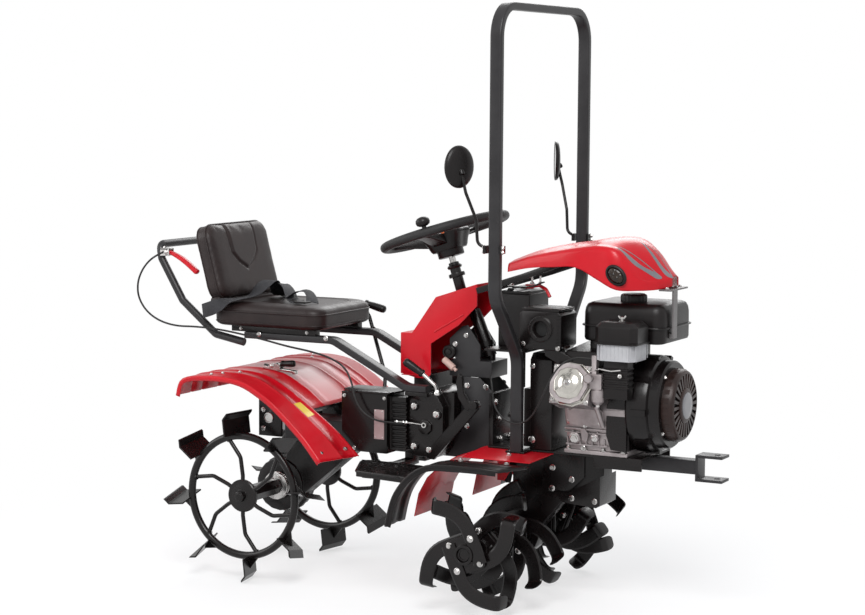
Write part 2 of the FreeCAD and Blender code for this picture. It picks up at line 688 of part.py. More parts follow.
def skinned(rows, joined=False):
    """A solid under flat faces strung between rows of corners, a closed ring of rows if joined."""
    count = len(rows[0])
    pairs = list(zip(rows, rows[1:]))
    if joined:
        pairs.append((rows[-1], rows[0]))
    faces = []
    for near, far in pairs:
        for place in range(count):
            after = (place + 1) % count
            for corners in ((near[place], near[after], far[after]), (near[place], far[after], far[place])):
                if (corners[1] - corners[0]).cross(corners[2] - corners[0]).Length > 1e-6:
                    faces.append(Part.Face(Part.makePolygon([*corners, corners[0]])))
    if not joined:
        for ends in (rows[0], rows[-1]):
            faces.append(Part.Face(Part.makePolygon([*ends, ends[0]])))
    solid = Part.Solid(Part.Shell(faces)).removeSplitter()
    if solid.Volume < 0:
        solid.reverse()
    return solid


def ring_rows(radius, tube, count, around):
    """Rows of corners round a ring about the Z axis."""
    rows = []
    for step in range(around):
        turn = 2 * math.pi * step / around
        out = Vector(math.cos(turn), math.sin(turn), 0)
        row_of = []
        for place in range(count):
            angle = 2 * math.pi * (place + 0.5) / count
            row_of.append(out * (radius + tube * math.cos(angle)) + Vector(0, 0, tube * math.sin(angle)))
        rows.append(row_of)
    return rows


def level_rows(steps, count):
    """Rows of corners round the Z axis, one for each radius and height."""
    return [[Vector(radius * math.cos(2 * math.pi * (i + 0.5) / count),
                    radius * math.sin(2 * math.pi * (i + 0.5) / count), z) for i in range(count)]
            for radius, z in steps]


def prism(corners, push_by):
    """A solid from a closed row of corners, pushed along a vector."""
    return Part.Face(Part.makePolygon(corners + corners[:1])).extrude(push_by)


# ---------------------------------------------------------------- rear wheels

def rear_wheel(name, side):
    """A ring on bent spokes, with skewed lugs turned at the tip; drawn at its own centre."""
    body = new_body(name)
    bind(body, "Placement.Base.y", f"{side} * wheel_y")
    bind(body, "Placement.Base.z", "axle_high")
    slab(body, "XZ", flats("0", "0", "ring_radius + ring_tube", 32), "-ring_tube", "ring_tube")
    slab(body, "XZ", flats("0", "0", "ring_radius - ring_tube", 32), "-ring_tube - 1", "ring_tube + 1",
         "Pocket")
    tube = size("ring_tube")
    round_edges(body, "ring_tube * 0.6", lambda edge: abs(abs(edge.CenterOfMass.y) - tube) < 0.1, "Chamfer")
    root = "hub_radius - 6"
    half = "spoke_radius"
    reach = "(ring_radius - 14)"
    spoke = slab(body, "XZ", [
        (f"-{half}", root), (half, root), (f"{half} - spoke_lean", f"spoke_knee + {half} * 0.3"),
        (f"{half} * 0.76 - spoke_swing", f"{reach} + {half} * 0.65"),
        (f"-{half} * 0.76 - spoke_swing", f"{reach} - {half} * 0.65"),
        (f"-{half} - spoke_lean", f"spoke_knee - {half} * 0.3")], f"-{half}", half)
    spin(body, [spoke], "Y", "spoke_count")
    drop = "(lug_foot * 0.7)"
    tip = f"sqrt(axle_high ^ 2 - ({drop} + lug_skew) ^ 2)"
    phase = f"180 deg + atan(({drop} + lug_skew) / ({tip}))"
    lug = slab(body, "XZ", [
        ("0", "ring_radius + 2"), ("lug_thick", "ring_radius + 2"),
        ("lug_thick", f"{tip} - {drop} - lug_thick * 0.4"), (f"{drop}", f"{tip} - lug_thick * 1.4"),
        (f"{drop}", tip), ("0", f"{tip} - {drop}")],
        "-lug_wide / 2", "lug_wide / 2", turn=phase)
    lug.UseCustomVector = True
    lean = math.radians(size(f"atan(({drop} + lug_skew) / ({tip}))"))
    skew = side * size("lug_skew")
    lug.Direction = Vector(skew * math.cos(lean), size("lug_wide") / 2, skew * math.sin(lean))
    gusset = slab(body, "XZ", [
        ("0", "ring_radius + 4"), ("0", f"{tip} - {drop} - 16"), ("-10", "ring_radius + 30"),
        ("-gusset_long", "ring_radius - 6")],
        "-gusset_thick / 2", "gusset_thick / 2", turn=phase)
    spin(body, [lug, gusset], "Y", "lug_count")
    inner = f"{-side} * (wheel_y - socket_end)"
    drum(body, "XZ", "0", "0", "hub_radius", "-hub_thick / 2", "hub_thick / 2", 16)
    slab(body, "XZ", flats("0", "0", "socket_radius * 1.1", 6), "0", inner)
    pin_y = f"{-side} * (wheel_y - socket_end - 20)"
    drum(body, "XY", "0", pin_y, "pin_radius", "0", "pin_reach", 6)
    disc(body, "XZ", "0", "0", "shaft_radius + fit_gap", "-wheel_y", "wheel_y", "Pocket")


def half_shaft(name, side):
    """A half shaft from the final drive out through the wheel, with its bright seal collars."""
    body = new_body(name)
    bind(body, "Placement.Base.z", "axle_high")
    disc(body, "XZ", "0", "0", "shaft_radius", f"{side} * 2", f"{side} * shaft_end")
    start = "(axle_case_half + 6)"
    drum(body, "XZ", "0", "0", "collar_radius", f"{side} * {start}",
         f"{side} * ({start} + collar_thick)", 16)
    drum(body, "XZ", "0", "0", "collar_waist", f"{side} * {start}", f"{side} * (socket_end - 6)", 8)
    drum(body, "XZ", "0", "0", "collar_radius",
         f"{side} * (socket_end - 5 - collar_thick)", f"{side} * (socket_end - 5)", 16)


for wheel_side, wheel_word in ((-1, "right"), (1, "left")):
    rear_wheel(f"rear_wheel_{wheel_word}", wheel_side)
    half_shaft(f"half_shaft_{wheel_word}", wheel_side)

# ---------------------------------------------------------------- rear axle and frame

axle_case = new_body("axle_case")
bind(axle_case, "Placement.Base.z", "axle_high")
drum(axle_case, "XZ", "0", "0", "axle_case_radius", "-axle_case_half", "axle_case_half", 18)
slab(axle_case, "XZ", [
    ("0", "0"), ("axle_case_radius * 0.9", "-30"), ("axle_arm_front", "frame_low - axle_high - 20"),
    ("axle_arm_front", "frame_low - axle_high"), ("axle_arm_back", "frame_low - axle_high")],
    "8 - axle_case_half", "axle_case_half - 8")
drum(axle_case, "XZ", "0", "0", "axle_case_radius + axle_rib", "-axle_rib_thick / 2",
     "axle_rib_thick / 2", 18)
disc(axle_case, "XZ", "0", "0", "shaft_radius + fit_gap", "-shaft_end", "shaft_end", "Pocket")

frame = new_body("main_frame")
block(frame, ("frame_back", "frame_front"), ("-frame_wide / 2", "frame_wide / 2"),
      ("frame_low", "frame_high"))
frame_web = slab(frame, "XZ", profile("web"), "-frame_wide / 2", "web_thick - frame_wide / 2")
mirror(frame, [frame_web])

transmission = new_body("transmission")
block(transmission, ("gear_back", "gear_front"), ("-gear_wide / 2", "gear_wide / 2"),
      ("frame_high", "gear_high"))
turret = "cover_half - cover_sheet - rest_gap"
block(transmission, ("turret_back", "turret_front"), (f"-({turret})", turret), ("gear_high", "web_high"))
block(transmission, ("gear_neck_back", "gear_neck_front"), ("-rail_y - 20", "rail_y + 20"),
      ("gear_high - gear_neck_thick", "gear_high"))
slab(transmission, "XZ", profile("cast"), "-cast_out", "-frame_wide / 2")
for boss_x, boss_z, boss_radius in (("530", "560", "13"), ("530", "440", "13"), ("592", "421", "16"),
                                    ("566", "500", "22"), ("604", "540", "15")):
    drum(transmission, "XZ", boss_x, boss_z, boss_radius, "-cast_out - boss_tall", "-cast_out", 8)

side_box = new_body("side_box")
block(side_box, ("side_box_back", "side_box_front"), ("-side_box_out", "-frame_wide / 2"),
      ("frame_low + 10", "side_box_high"))
slab(side_box, "XY", [
    ("side_box_back - lid_over", "-frame_wide / 2"), ("side_box_back - lid_over", "-side_box_out * 0.85"),
    ("side_box_back + 30", "-side_box_out - lid_over"),
    ("side_box_front + lid_over", "-side_box_out - lid_over"),
    ("side_box_front + lid_over * 3", "-side_box_out * 0.7"),
    ("side_box_front + lid_over * 3", "-frame_wide / 2")],
    "side_box_high", "side_box_high + lid_thick")
block(side_box, ("side_box_front", "side_case_front"), ("-side_case_out", "-gear_wide / 2 - rest_gap"),
      ("side_case_low", "side_case_high"))
groove = block(side_box, ("side_box_front + 6", "side_case_front"),
               ("-side_case_out", "rib_deep - side_case_out"),
               ("side_case_low + 8", "side_case_low + 14"), "Pocket")
row(side_box, [groove], "Z", "rib_count", "rib_pitch")

joint_plate = new_body("joint_plate")
block(joint_plate, ("frame_front", "frame_front + joint_thick"), ("-joint_half", "joint_half"),
      ("frame_low", "web_high - 40"))

# ---------------------------------------------------------------- rear fender, footrests

fender = new_body("rear_fender")
slab(fender, "XZ", band("crest", "fender_sheet"), "-fender_half", "fender_half")
fender_edge = slab(fender, "XZ", band("crest", "fender_lip"), "-fender_half", "fender_sheet - fender_half")
fender_rib = slab(fender, "XZ", band("crest", "-rib_high"), "-250", "rib_wide - 250")
fender_rib_two = slab(fender, "XZ", band("crest", "-rib_high"), "-190", "rib_wide - 190")
mirror(fender, [fender_edge, fender_rib, fender_rib_two])
slab(fender, "XZ", [("190", "300"), ("400", "300"), ("400", "560"), ("190", "560")],
     "-fender_gap - 26", "fender_gap + 26", "Pocket")

fender_support = new_body("fender_support")
drum(fender_support, "XZ", "support_x", "frame_high + support_pin", "support_pin",
     "-fender_ear - 1", "fender_ear + 1", 12)
fender_ear = slab(fender_support, "XZ", [
    ("20", "440"), ("100", "440"), ("100", "589.6"), ("40", "618.2"), ("20", "620.4")],
    "-fender_ear", "ear_thick - fender_ear")
mirror(fender_support, [fender_ear])


def footrest(name, side):
    """A plate with turned-down edges on a cross bar under the frame."""
    body = new_body(name)
    slab(body, "XY", [(x, f"{side} * {y}") for x, y in profile("foot")], "foot_top - foot_lip", "foot_top")
    slab(body, "XY", [(x, f"{side} * {y}") for x, y in profile("tread")],
         "foot_top - foot_lip - 1", "foot_top - foot_thick", "Pocket")
    bar_low = "foot_top - foot_thick - foot_bar_tall"
    block(body, ("foot_bar_back", "foot_bar_front"), (f"{side} * 20", f"{side} * 320"),
          (bar_low, "foot_top - foot_thick"))
    block(body, ("foot_bar_back", "foot_bar_front"), (f"{side} * 20", f"{side} * 56"),
          (bar_low, "frame_low"))


footrest("footrest_right", -1)
footrest("footrest_left", 1)

# ---------------------------------------------------------------- seat

seat_cushion = new_body("seat_cushion")
block(seat_cushion, ("seat_back", "seat_front"), ("-seat_half", "seat_half"),
      ("seat_low", "seat_low + seat_thick"))
round_edges(seat_cushion, "seat_corner", runs_along("Z"))

seat_backrest = new_body("seat_backrest")
cushion_top = "seat_low + seat_thick + rest_gap"
slab(seat_backrest, "XZ", [
    ("seat_back", cushion_top), ("seat_back + back_thick", cushion_top),
    ("seat_back + back_thick - back_lean", "back_high"), ("seat_back - back_lean", "back_high")],
    "-seat_half", "seat_half")
round_edges(seat_backrest, "seat_corner", runs_along("X", "back_high - 1"))

seat_belt = new_body("seat_belt")
belt_out = "seat_half + rest_gap"
belt_low = "seat_low + seat_thick + rest_gap"
slab(seat_belt, "YZ", [
    (f"-({belt_out})", "seat_low"), (f"-({belt_out})", belt_low), ("belt_left", belt_low),
    ("belt_left", f"{belt_low} + belt_thick"), (f"-({belt_out}) - belt_thick", f"{belt_low} + belt_thick"),
    (f"-({belt_out}) - belt_thick", "seat_low")], "belt_x - belt_wide / 2", "belt_x + belt_wide / 2")

rail_points = [spot("-60", "0", "rail_top - rail_tall / 2"), spot("250", "0", "rail_top - rail_tall / 2"),
               spot("500", "0", "gear_high + rail_tall / 2"), spot("570", "0", "gear_high + rail_tall / 2")]
rail = flat_bar(rail_points, size("rail_wide"), size("rail_tall"), size("rail_bend"))
rail.translate(spot("0", "-rail_y", "0"))
shape_node("seat_rails", both_sides(rail))

loop_foot = "rail_top - rail_tall - loop_radius"
loop_side = [("-60", loop_foot), ("-163", "735"), ("-286", "834"), ("-364", "962"), ("loop_x", "loop_high")]
loop_points = [spot(x, "-loop_y", z) for x, z in loop_side]
loop_points += [spot(x, "loop_y", z) for x, z in loop_side[::-1]]
loop = round_bar(loop_points, size("loop_radius"), size("loop_bend"), 6)
shape_node("seat_loop", [loop])

seat_slides = new_body("seat_slides")
seat_slide = block(seat_slides, ("slide_back", "slide_front"),
                   ("-rail_y - slide_wide / 2", "-rail_y + slide_wide / 2"),
                   ("rail_top", "seat_low - rest_gap"))
mirror(seat_slides, [seat_slide])

# ---------------------------------------------------------------- steering


def tilted(shape):
    """A shape drawn about the steering axis at the origin, put on the steering wheel's centre."""
    turned = shape.copy()
    turned.rotate(Vector(0, 0, 0), Vector(0, 1, 0), -size("steer_tilt"))
    turned.translate(spot("steer_x", "0", "steer_high"))
    return turned


pad_top = -size("steer_spoke_thick") / 2
pad_foot = pad_top - size("steer_pad_deep")
collar_foot = pad_foot - size("steer_collar_deep")


def steering_wheel():
    """A padded ring on three spokes over a deep moulded centre, with a spinner knob."""
    ring = skinned(ring_rows(size("steer_ring"), size("steer_grip") * 1.02, int(size("steer_flats")),
                             30), True)
    pad = skinned(level_rows([(size("steer_pad"), pad_top + 4), (size("steer_pad"), pad_top - 10),
                              (size("steer_pad_low"), pad_foot)], 16))
    pad = pad.fuse(skinned(level_rows([(size("steer_collar"), pad_foot + 2),
                                       (size("steer_collar"), collar_foot)], 16)))
    thick = size("steer_spoke_thick")
    wide = size("steer_spoke")
    spokes = []
    for angle in (90, 180, 270):
        arm = Part.makeBox(size("steer_ring"), wide, thick, Vector(0, -wide / 2, pad_top - thick / 2))
        arm.rotate(Vector(0, 0, 0), Vector(0, 0, 1), angle)
        spokes.append(arm)
    angle = math.radians(size("knob_angle"))
    foot = Vector(math.cos(angle), math.sin(angle), 0) * size("steer_ring")
    knob_low = size("steer_grip") + 6
    stalk = rod(foot, foot + Vector(0, 0, knob_low + 4), size("knob_radius") / 2, 8)
    knob = skinned(level_rows([(size("knob_radius") * 0.8, 0),
                               (size("knob_radius"), size("knob_tall") * 0.4),
                               (size("knob_radius") * 0.7, size("knob_tall"))], 12))
    knob.translate(foot + Vector(0, 0, knob_low))
    return tilted(ring.fuse([pad, stalk, knob] + spokes))


shape_node("steering_wheel", [steering_wheel()])
steer_long = size("steer_long")
shape_node("steering_shaft", [tilted(Part.makeCylinder(size("steer_shaft"), steer_long + collar_foot,
                                                       Vector(0, 0, -steer_long)))])

cover = new_body("steering_cover")
slab(cover, "XZ", profile("cover"), "-cover_half", "cover_half")
slab(cover, "XZ", [
    ("440", "600"), ("440", "web_high + 2"), ("446 + cover_sheet", "web_high + 2"),
    ("446 + cover_sheet", "766"), ("486", "766"), ("565", "877"), ("700 - cover_sheet", "921"),
    ("710", "860"), ("720", "700"), ("560", "600")],
    "cover_sheet - cover_half", "cover_half - cover_sheet", "Pocket")

column_lean = spot("-column_slope", "0", "1")
column_foot = spot("column_foot_x", "0", "column_foot_high")
column_head = column_foot + Vector(column_lean).normalize() * size("column_long")
column = rod(column_foot, column_head, size("column_radius"), 12)
column = column.fuse(rod(spot("column_foot_x + 4", "0", "support_beam"),
                         spot("column_foot_x + 4", "0", "column_foot_high + 10"), 11, 8))
neck_foot = Vector(0, 0, -steer_long)
neck_head = neck_foot + Vector(0, 0, size("neck_long"))
ring_foot = neck_head - Vector(0, 0, 34)
neck = rod(neck_foot, neck_head, size("neck_radius"), 10)
neck = neck.fuse(rod(ring_foot, ring_foot + Vector(0, 0, 14), size("neck_ring"), 10))
bore = Part.makeCylinder(size("steer_shaft + fit_gap"), steer_long * 2, Vector(0, 0, -steer_long * 1.5))
shape_node("steering_column", [column, tilted(neck.cut(bore))])

steer_support = new_body("steering_support")
block(steer_support, ("600", "740"), ("-support_half", "support_half"), ("web_high", "support_beam"))
cheek = slab(steer_support, "XZ", profile("cheek"), "-support_half", "support_plate - support_half")
mirror(steer_support, [cheek])

# ---------------------------------------------------------------- rollover bar

bar_y = size("bar_half - bar_wide / 2")
bar_foot = "front_low + front_thick"
bar_side = [("bar_leg_y", bar_foot), ("bar_leg_y", "bar_knee_low"),
            ("bar_half - bar_wide / 2", "bar_knee_high"),
            ("bar_half - bar_wide / 2", "bar_high - bar_wide / 2")]
bar_points = [spot("bar_x", f"-({y})", z) for y, z in bar_side]
bar_points += [spot("bar_x", y, z) for y, z in bar_side[::-1]]
shape_node("rollover_bar", [flat_bar(bar_points, size("bar_deep"), size("bar_wide"),
                                     size("bar_bend"), Vector(1, 0, 0))])

# ---------------------------------------------------------------- tiller


def blade():
    """One blade about the tiller axis (along Y), running up past it and curving to -X."""
    line = [Vector(x, 0, z) for x, z in TINE]
    half = size("blade_wide") / 2
    thick = size("blade_thick")
    outer = []
    inner = []
    for place, point in enumerate(line):
        before = line[max(place - 1, 0)]
        after = line[min(place + 1, len(line) - 1)]
        along = (after - before).normalize()
        across = Vector(along.z, 0, -along.x)
        outer.append(point + across * half)
        inner.append(point - across * half)
    drop = Vector(0, thick / 2, 0)
    strip = prism([point - drop for point in outer + inner[::-1]], Vector(0, thick, 0))
    back = (line[-2] - line[-1]).normalize() * thick
    edge = [outer[-1], inner[-1], inner[-1] + back, outer[-1] + back]
    tip = prism([point - drop for point in edge], Vector(0, size("blade_tip"), 0))
    return strip.fuse(tip)


def flange():
    """A square plate on a hub, bored six-sided for the shaft."""
    side = size("flange_side")
    thick = size("flange_thick")
    plate = Part.makeBox(side, thick, side, Vector(-side / 2, -thick / 2, -side / 2))
    hub = rod(Vector(0, -15, 0), Vector(0, 15, 0), size("flange_hub"), 8)
    return plate.fuse(hub)


def hexagon(radius, start, stop):
    """A six-sided bar along Y, a given distance from its middle to its corners."""
    corners = [Vector(radius * math.cos(math.radians(60 * i)), start,
                      radius * math.sin(math.radians(60 * i)))
               for i in range(6)]
    return prism(corners, Vector(0, stop - start, 0))


def bank(flip):
    """A flange with four blades, the tips turned to +Y or, flipped, to -Y."""
    parts = []
    for quarter in range(4):
        arm = blade()
        offset = size("(flange_thick + blade_thick) / 2")
        arm.translate(Vector(0, offset if quarter % 2 == 0 else -offset, 0))
        arm.rotate(Vector(0, 0, 0), Vector(0, 1, 0), 90 * quarter)
        parts.append(arm)
    whole = flange().fuse(parts)
    if flip:
        whole.rotate(Vector(0, 0, 0), Vector(0, 0, 1), 180)
    return whole


def tiller_side(name, side):
    """The flanges of one side, each turned a little past its neighbour."""
    banks = []
    count = int(size("bank_count"))
    first = size("bank_first")
    last = size("rotor_half - flange_thick / 2")
    for index in range(count):
        y = first + (last - first) * index / (count - 1)
        flip = (index == count - 1) == (side > 0)
        one = bank(flip)
        one.rotate(Vector(0, 0, 0), Vector(0, 1, 0), size("bank_step") * index)
        one = one.cut(hexagon(size("rotor_shaft + fit_gap"), -30, 30))
        one.translate(spot("rotor_x", f"{side} * {y}", "rotor_high"))
        banks.append(one)
    shape_node(name, banks)


tiller_side("tines_right", -1)
tiller_side("tines_left", 1)

tiller_shaft = new_body("tiller_shaft")
bind(tiller_shaft, "Placement.Base.z", "rotor_high")
disc(tiller_shaft, "XZ", "rotor_x", "0", "rotor_shaft", "-bank_first + 20", "bank_first - 20")
slab(tiller_shaft, "XZ", [
    ("rotor_x + rotor_shaft", "0"), ("rotor_x + rotor_shaft / 2", "rotor_shaft * sin(60)"),
    ("rotor_x - rotor_shaft / 2", "rotor_shaft * sin(60)"), ("rotor_x - rotor_shaft", "0"),
    ("rotor_x - rotor_shaft / 2", "-rotor_shaft * sin(60)"),
    ("rotor_x + rotor_shaft / 2", "-rotor_shaft * sin(60)")], "-rotor_half - 6", "rotor_half + 6")
for tube_side in (-1, 1):
    drum(tiller_shaft, "XZ", "rotor_x", "0", "rotor_shaft * 0.7",
         f"{tube_side} * (rotor_half + 6)", f"{tube_side} * (rotor_half - 20)", 10, "Pocket")

tiller_case = new_body("tiller_case")
drum(tiller_case, "XZ", "rotor_x", "rotor_high", "case_radius", "-case_half", "case_half", 16)
slab(tiller_case, "XZ", [
    ("rotor_x - case_radius + 4", "rotor_high")] + profile("chain"), "-case_half", "case_half")
slab(tiller_case, "XZ", profile("gears"), "-gear_end_half", "gear_end_half")
slab(tiller_case, "XZ", profile("chest"), "-case_half - case_cover", "case_half + case_cover")
drum(tiller_case, "XZ", "rotor_x", "rotor_high", "case_radius * 0.62",
     "-case_half - case_cover", "case_half + case_cover", 12)
disc(tiller_case, "XZ", "rotor_x", "rotor_high", "rotor_shaft + fit_gap", "-case_radius", "case_radius",
     "Pocket")

# ---------------------------------------------------------------- front frame, guard, hitch

front_frame = new_body("front_frame")
block(front_frame, ("frame_front + joint_thick", "front_end"), ("-front_half", "front_half"),
      ("front_low", "front_low + front_thick"))
block(front_frame, ("bar_x - bar_foot", "bar_x + bar_foot"), ("-bar_leg_y - 14", "bar_leg_y + 14"),
      ("front_low", "front_low + front_thick"))
front_edge = block(front_frame, ("case_front", "front_end"), ("-front_half", "front_thick - front_half"),
                   ("front_low - front_rail", "front_low"))
mirror(front_frame, [front_edge])


def guard_side(body, side, inner):
    """A sloping rear wall, a deck over the tines and an ear on one side."""
    slab(body, "XZ", band("wall", "guard_sheet"), f"{side} * {inner}", f"{side} * guard_half")
    slab(body, "XY", [(x, f"{side} * {y}") for x, y in profile("deck")],
         "front_low - guard_sheet", "front_low")
    slab(body, "XZ", profile("ear"), f"{side} * 50", f"{side} * (50 + guard_sheet)")


guard = new_body("tiller_guard")
guard_side(guard, -1, "guard_right")
guard_side(guard, 1, "guard_left")


def front_fender(name, side):
    """A sheet bent over the tines beside the guard, its outer edge turned down."""
    body = new_body(name)
    inner = f"{side} * (guard_half + rest_gap)"
    outer = f"{side} * fender_out"
    slab(body, "XZ", band("wing", "wing_sheet"), inner, outer)
    slab(body, "XZ", band("wing", "wing_lip"), f"{side} * (fender_out - wing_sheet)", outer)
    slab(body, "XZ", band("wing", "-wing_bead * 0.5"), f"{side} * (fender_out - wing_bead)", outer)
    slab(body, "XZ", band("wing", "-wing_bead * 0.5"), f"{side} * (guard_half + 34)",
         f"{side} * (guard_half + 56)")
    slab(body, "XY", [("guard_front - wing_cut", f"{side} * (fender_out + 1)"),
                      ("guard_front + 1", f"{side} * (fender_out + 1)"),
                      ("guard_front + 1", f"{side} * 290")],
         "front_low - 40", "front_low", "Pocket")


front_fender("front_fender_right", -1)
front_fender("front_fender_left", 1)

hitch = new_body("front_hitch")
half_beam = "hitch_beam / 2"
block(hitch, ("case_front", "hitch_beam_end"), (f"-{half_beam}", half_beam),
      ("hitch_low", "hitch_low + hitch_beam"))
clevis_low = "hitch_low + (hitch_beam - clevis_tall) / 2"
clevis_high = "hitch_low + (hitch_beam + clevis_tall) / 2"
block(hitch, ("hitch_beam_end", "clevis_end"), ("-clevis_wide / 2", "clevis_wide / 2"),
      (clevis_low, clevis_high))
block(hitch, ("hitch_beam_end + clevis_thick", "clevis_end"), ("-clevis_wide", "clevis_wide"),
      (f"{clevis_low} + clevis_thick", f"{clevis_high} - clevis_thick"), "Pocket")
disc(hitch, "XY", "clevis_end - clevis_pin", "0", "clevis_hole", clevis_low, clevis_high, "Pocket")

# ---------------------------------------------------------------- engine

engine = new_body("engine_block")
deck = "front_low + front_thick"
root_y = "head_root * cos(head_rise)"
root_z = "crank_high + head_root * sin(head_rise)"
lean_y = "head_tall / 2 * sin(head_rise)"
lean_z = "head_tall / 2 * cos(head_rise)"
block(engine, ("block_back", "block_front"), ("-block_half", "block_half"), (deck, f"{deck} + base_thick"))
slab(engine, "YZ", [
    ("-block_half + 10", f"{deck} + base_thick"), ("block_half - 10", f"{deck} + base_thick"),
    ("block_half", "crank_high - 90"), ("block_half", "crank_high + 40"), ("block_half - 26", "block_top"),
    (f"-({root_y}) + {lean_y}", f"{root_z} + {lean_z}"), (f"-({root_y}) - {lean_y}", f"{root_z} - {lean_z}"),
    ("-block_half", "crank_high - 90")], "block_back + 8", "block_front")

cylinder = new_body("engine_cylinder")
bind(cylinder, "Placement.Base.z", "crank_high")
cylinder.Placement = Placement(Vector(0, 0, 0), Rotation(Vector(1, 0, 0), 1))
bind(cylinder, "Placement.Base.x", "rear_axle_x + head_x")
bind(cylinder, "Placement.Base.z", "crank_high")
bind(cylinder, "Placement.Rotation.Angle", "-head_rise")
head_end = "head_root + head_long"
slab(cylinder, "XZ", [
    ("-head_wide / 2 + fin_deep", "-head_tall / 2 + fin_deep"),
    ("head_wide / 2 - fin_deep", "-head_tall / 2 + fin_deep"),
    ("head_wide / 2 - fin_deep", "head_tall / 2 - fin_deep"),
    ("-head_wide / 2 + fin_deep", "head_tall / 2 - fin_deep")],
    f"-({head_end})", "-head_root")
fin = slab(cylinder, "XZ", [
    ("-head_wide / 2", "-head_tall / 2"), ("head_wide / 2", "-head_tall / 2"),
    ("head_wide / 2", "head_tall / 2"), ("-head_wide / 2", "head_tall / 2")], "-head_root - 5", "-head_root")
row(cylinder, [fin], "Y", "fin_count", "fin_pitch", True)
slab(cylinder, "XZ", [
    ("-head_wide / 2", "-head_tall / 2"), ("head_wide / 2", "-head_tall / 2"),
    ("head_wide / 2", "head_tall / 2"), ("-head_wide / 2", "head_tall / 2")], f"-({head_end})",
    f"-({head_end} - 26)")
slab(cylinder, "XZ", profile("cap"), f"-({head_end} + cap_deep)", f"-({head_end})")
drum(cylinder, "XZ", "0", "0", "cap_crown", f"-({head_end} + cap_deep + cap_crown_tall)",
     f"-({head_end})", 12)

shroud = new_body("fan_shroud")
drum(shroud, "YZ", "0", "crank_high", "shroud_radius - 1", "block_front", "shroud_step", 24)
drum(shroud, "YZ", "0", "crank_high", "shroud_small", "shroud_step", "shroud_front", 24)

recoil = new_body("recoil_starter")
bind(recoil, "Placement.Base.z", "crank_high")
drum(recoil, "YZ", "0", "0", "recoil_radius", "shroud_front", "shroud_front + recoil_deep", 20)
slot = slab(recoil, "YZ", [
    ("-slot_wide / 2", "recoil_radius * 0.7"), ("slot_wide / 2", "recoil_radius * 0.7"),
    ("slot_wide / 2", "recoil_radius * 0.93"), ("-slot_wide / 2", "recoil_radius * 0.93")],
    "shroud_front + recoil_deep - 8", "shroud_front + recoil_deep + 1", "Pocket")
spin(recoil, [slot], "X", "slot_count")
drum(recoil, "YZ", "0", "0", "recoil_radius * 0.42", "shroud_front", "shroud_front + recoil_deep + 6", 10)


def eased(back, front, right, left, corner):
    """A rectangle with each corner eased in three flats."""
    near = f"({corner}) * 0.29"
    across = []
    for x_edge, x_sign, y_edge, y_sign in ((back, 1, right, 1), (back, 1, left, -1),
                                           (front, -1, left, -1), (front, -1, right, 1)):
        steps = [(corner, "0"), (near, near), ("0", corner)]
        if x_sign * y_sign < 0:
            steps = steps[::-1]
        across += [(f"{x_edge} + {x_sign} * ({x})", f"{y_edge} + {y_sign} * ({y})") for x, y in steps]
    return across


tank = new_body("fuel_tank")
slab(tank, "XY", eased("tank_back", "tank_front", "tank_right", "tank_left", "tank_corner"),
     "tank_low", "tank_high")
round_edges(tank, "tank_bevel", lies_at("tank_high"), "Chamfer")
slab(tank, "XY", eased("tank_back - seam_over", "tank_front + seam_over", "tank_right - seam_over",
                       "tank_left + seam_over", "tank_corner"), "seam_high", "seam_high + seam_thick")
drum(tank, "XY", "filler_x", "0", "filler_radius", "tank_high - 1", "tank_high + filler_tall", 16)

muffler = new_body("muffler")
block(muffler, ("muffler_back", "muffler_front"), ("muffler_out", "muffler_in"),
      ("muffler_low", "muffler_high"))
round_edges(muffler, "muffler_corner", runs_along("Y"), "Chamfer")
drum(muffler, "XZ", "outlet_x", "outlet_high", "outlet_ring", "muffler_out - outlet_tall", "muffler_out", 20)
drum(muffler, "XZ", "outlet_x", "outlet_high", "outlet_radius", "muffler_out - outlet_tall - 1",
     "muffler_out + 50", 16, "Pocket")
slab(muffler, "XZ", [
    ("950", "muffler_low"), ("muffler_front - muffler_corner", "muffler_low"), ("1036", "734"),
    ("1036", "710.6"), ("1000", "710.6"), ("950", "736")], "-142", "-116")
block(muffler, ("muffler_back + 4", "muffler_front - 4"), ("muffler_out + 8", "muffler_in - 4"),
      ("muffler_high", "muffler_high + 7"))

air_cleaner = new_body("air_cleaner")
block(air_cleaner, ("filter_back", "filter_front"), ("filter_out", "filter_in"),
      ("filter_split", "filter_high"))
round_edges(air_cleaner, "filter_bevel", runs_along("Z"), "Chamfer")
round_edges(air_cleaner, "filter_bevel * 0.8", lies_at("filter_high"), "Chamfer")
block(air_cleaner, ("duct_back", "duct_front"), ("duct_out", "duct_in"), ("duct_low", "filter_split"))
duct_rib = block(air_cleaner, ("duct_back - 3", "duct_front + 3"), ("duct_out - 3", "duct_in"),
                 ("duct_low + 30", "duct_low + 35"))
row(air_cleaner, [duct_rib], "Z", "5", "13")

air_bowl = new_body("air_bowl")
block(air_bowl, ("filter_back + bowl_inset", "filter_front - bowl_inset"),
      ("filter_out + bowl_inset", "filter_in - bowl_inset"), ("filter_low", "filter_split"))
round_edges(air_bowl, "filter_bevel", runs_along("Z"), "Chamfer")
block(air_bowl, ("duct_back - rest_gap", "duct_front + rest_gap"),
      ("duct_out - rest_gap", "duct_in + rest_gap"),
      ("filter_low", "filter_split"), "Pocket")

belt_case = new_body("belt_case")
block(belt_case, ("890", "960"), ("-110", "110"), (deck, "737"))
round_edges(belt_case, "18", runs_along("X", "700"), "Chamfer")

battery = new_body("battery")
block(battery, ("762", "862"), ("-60", "76"), ("745", "900"))
block(battery, ("768", "856"), ("-54", "70"), ("900", "908"))
for post_y in ("-46", "46"):
    block(battery, ("784", "800"), (post_y, f"{post_y} + 14"), ("908", "916"))

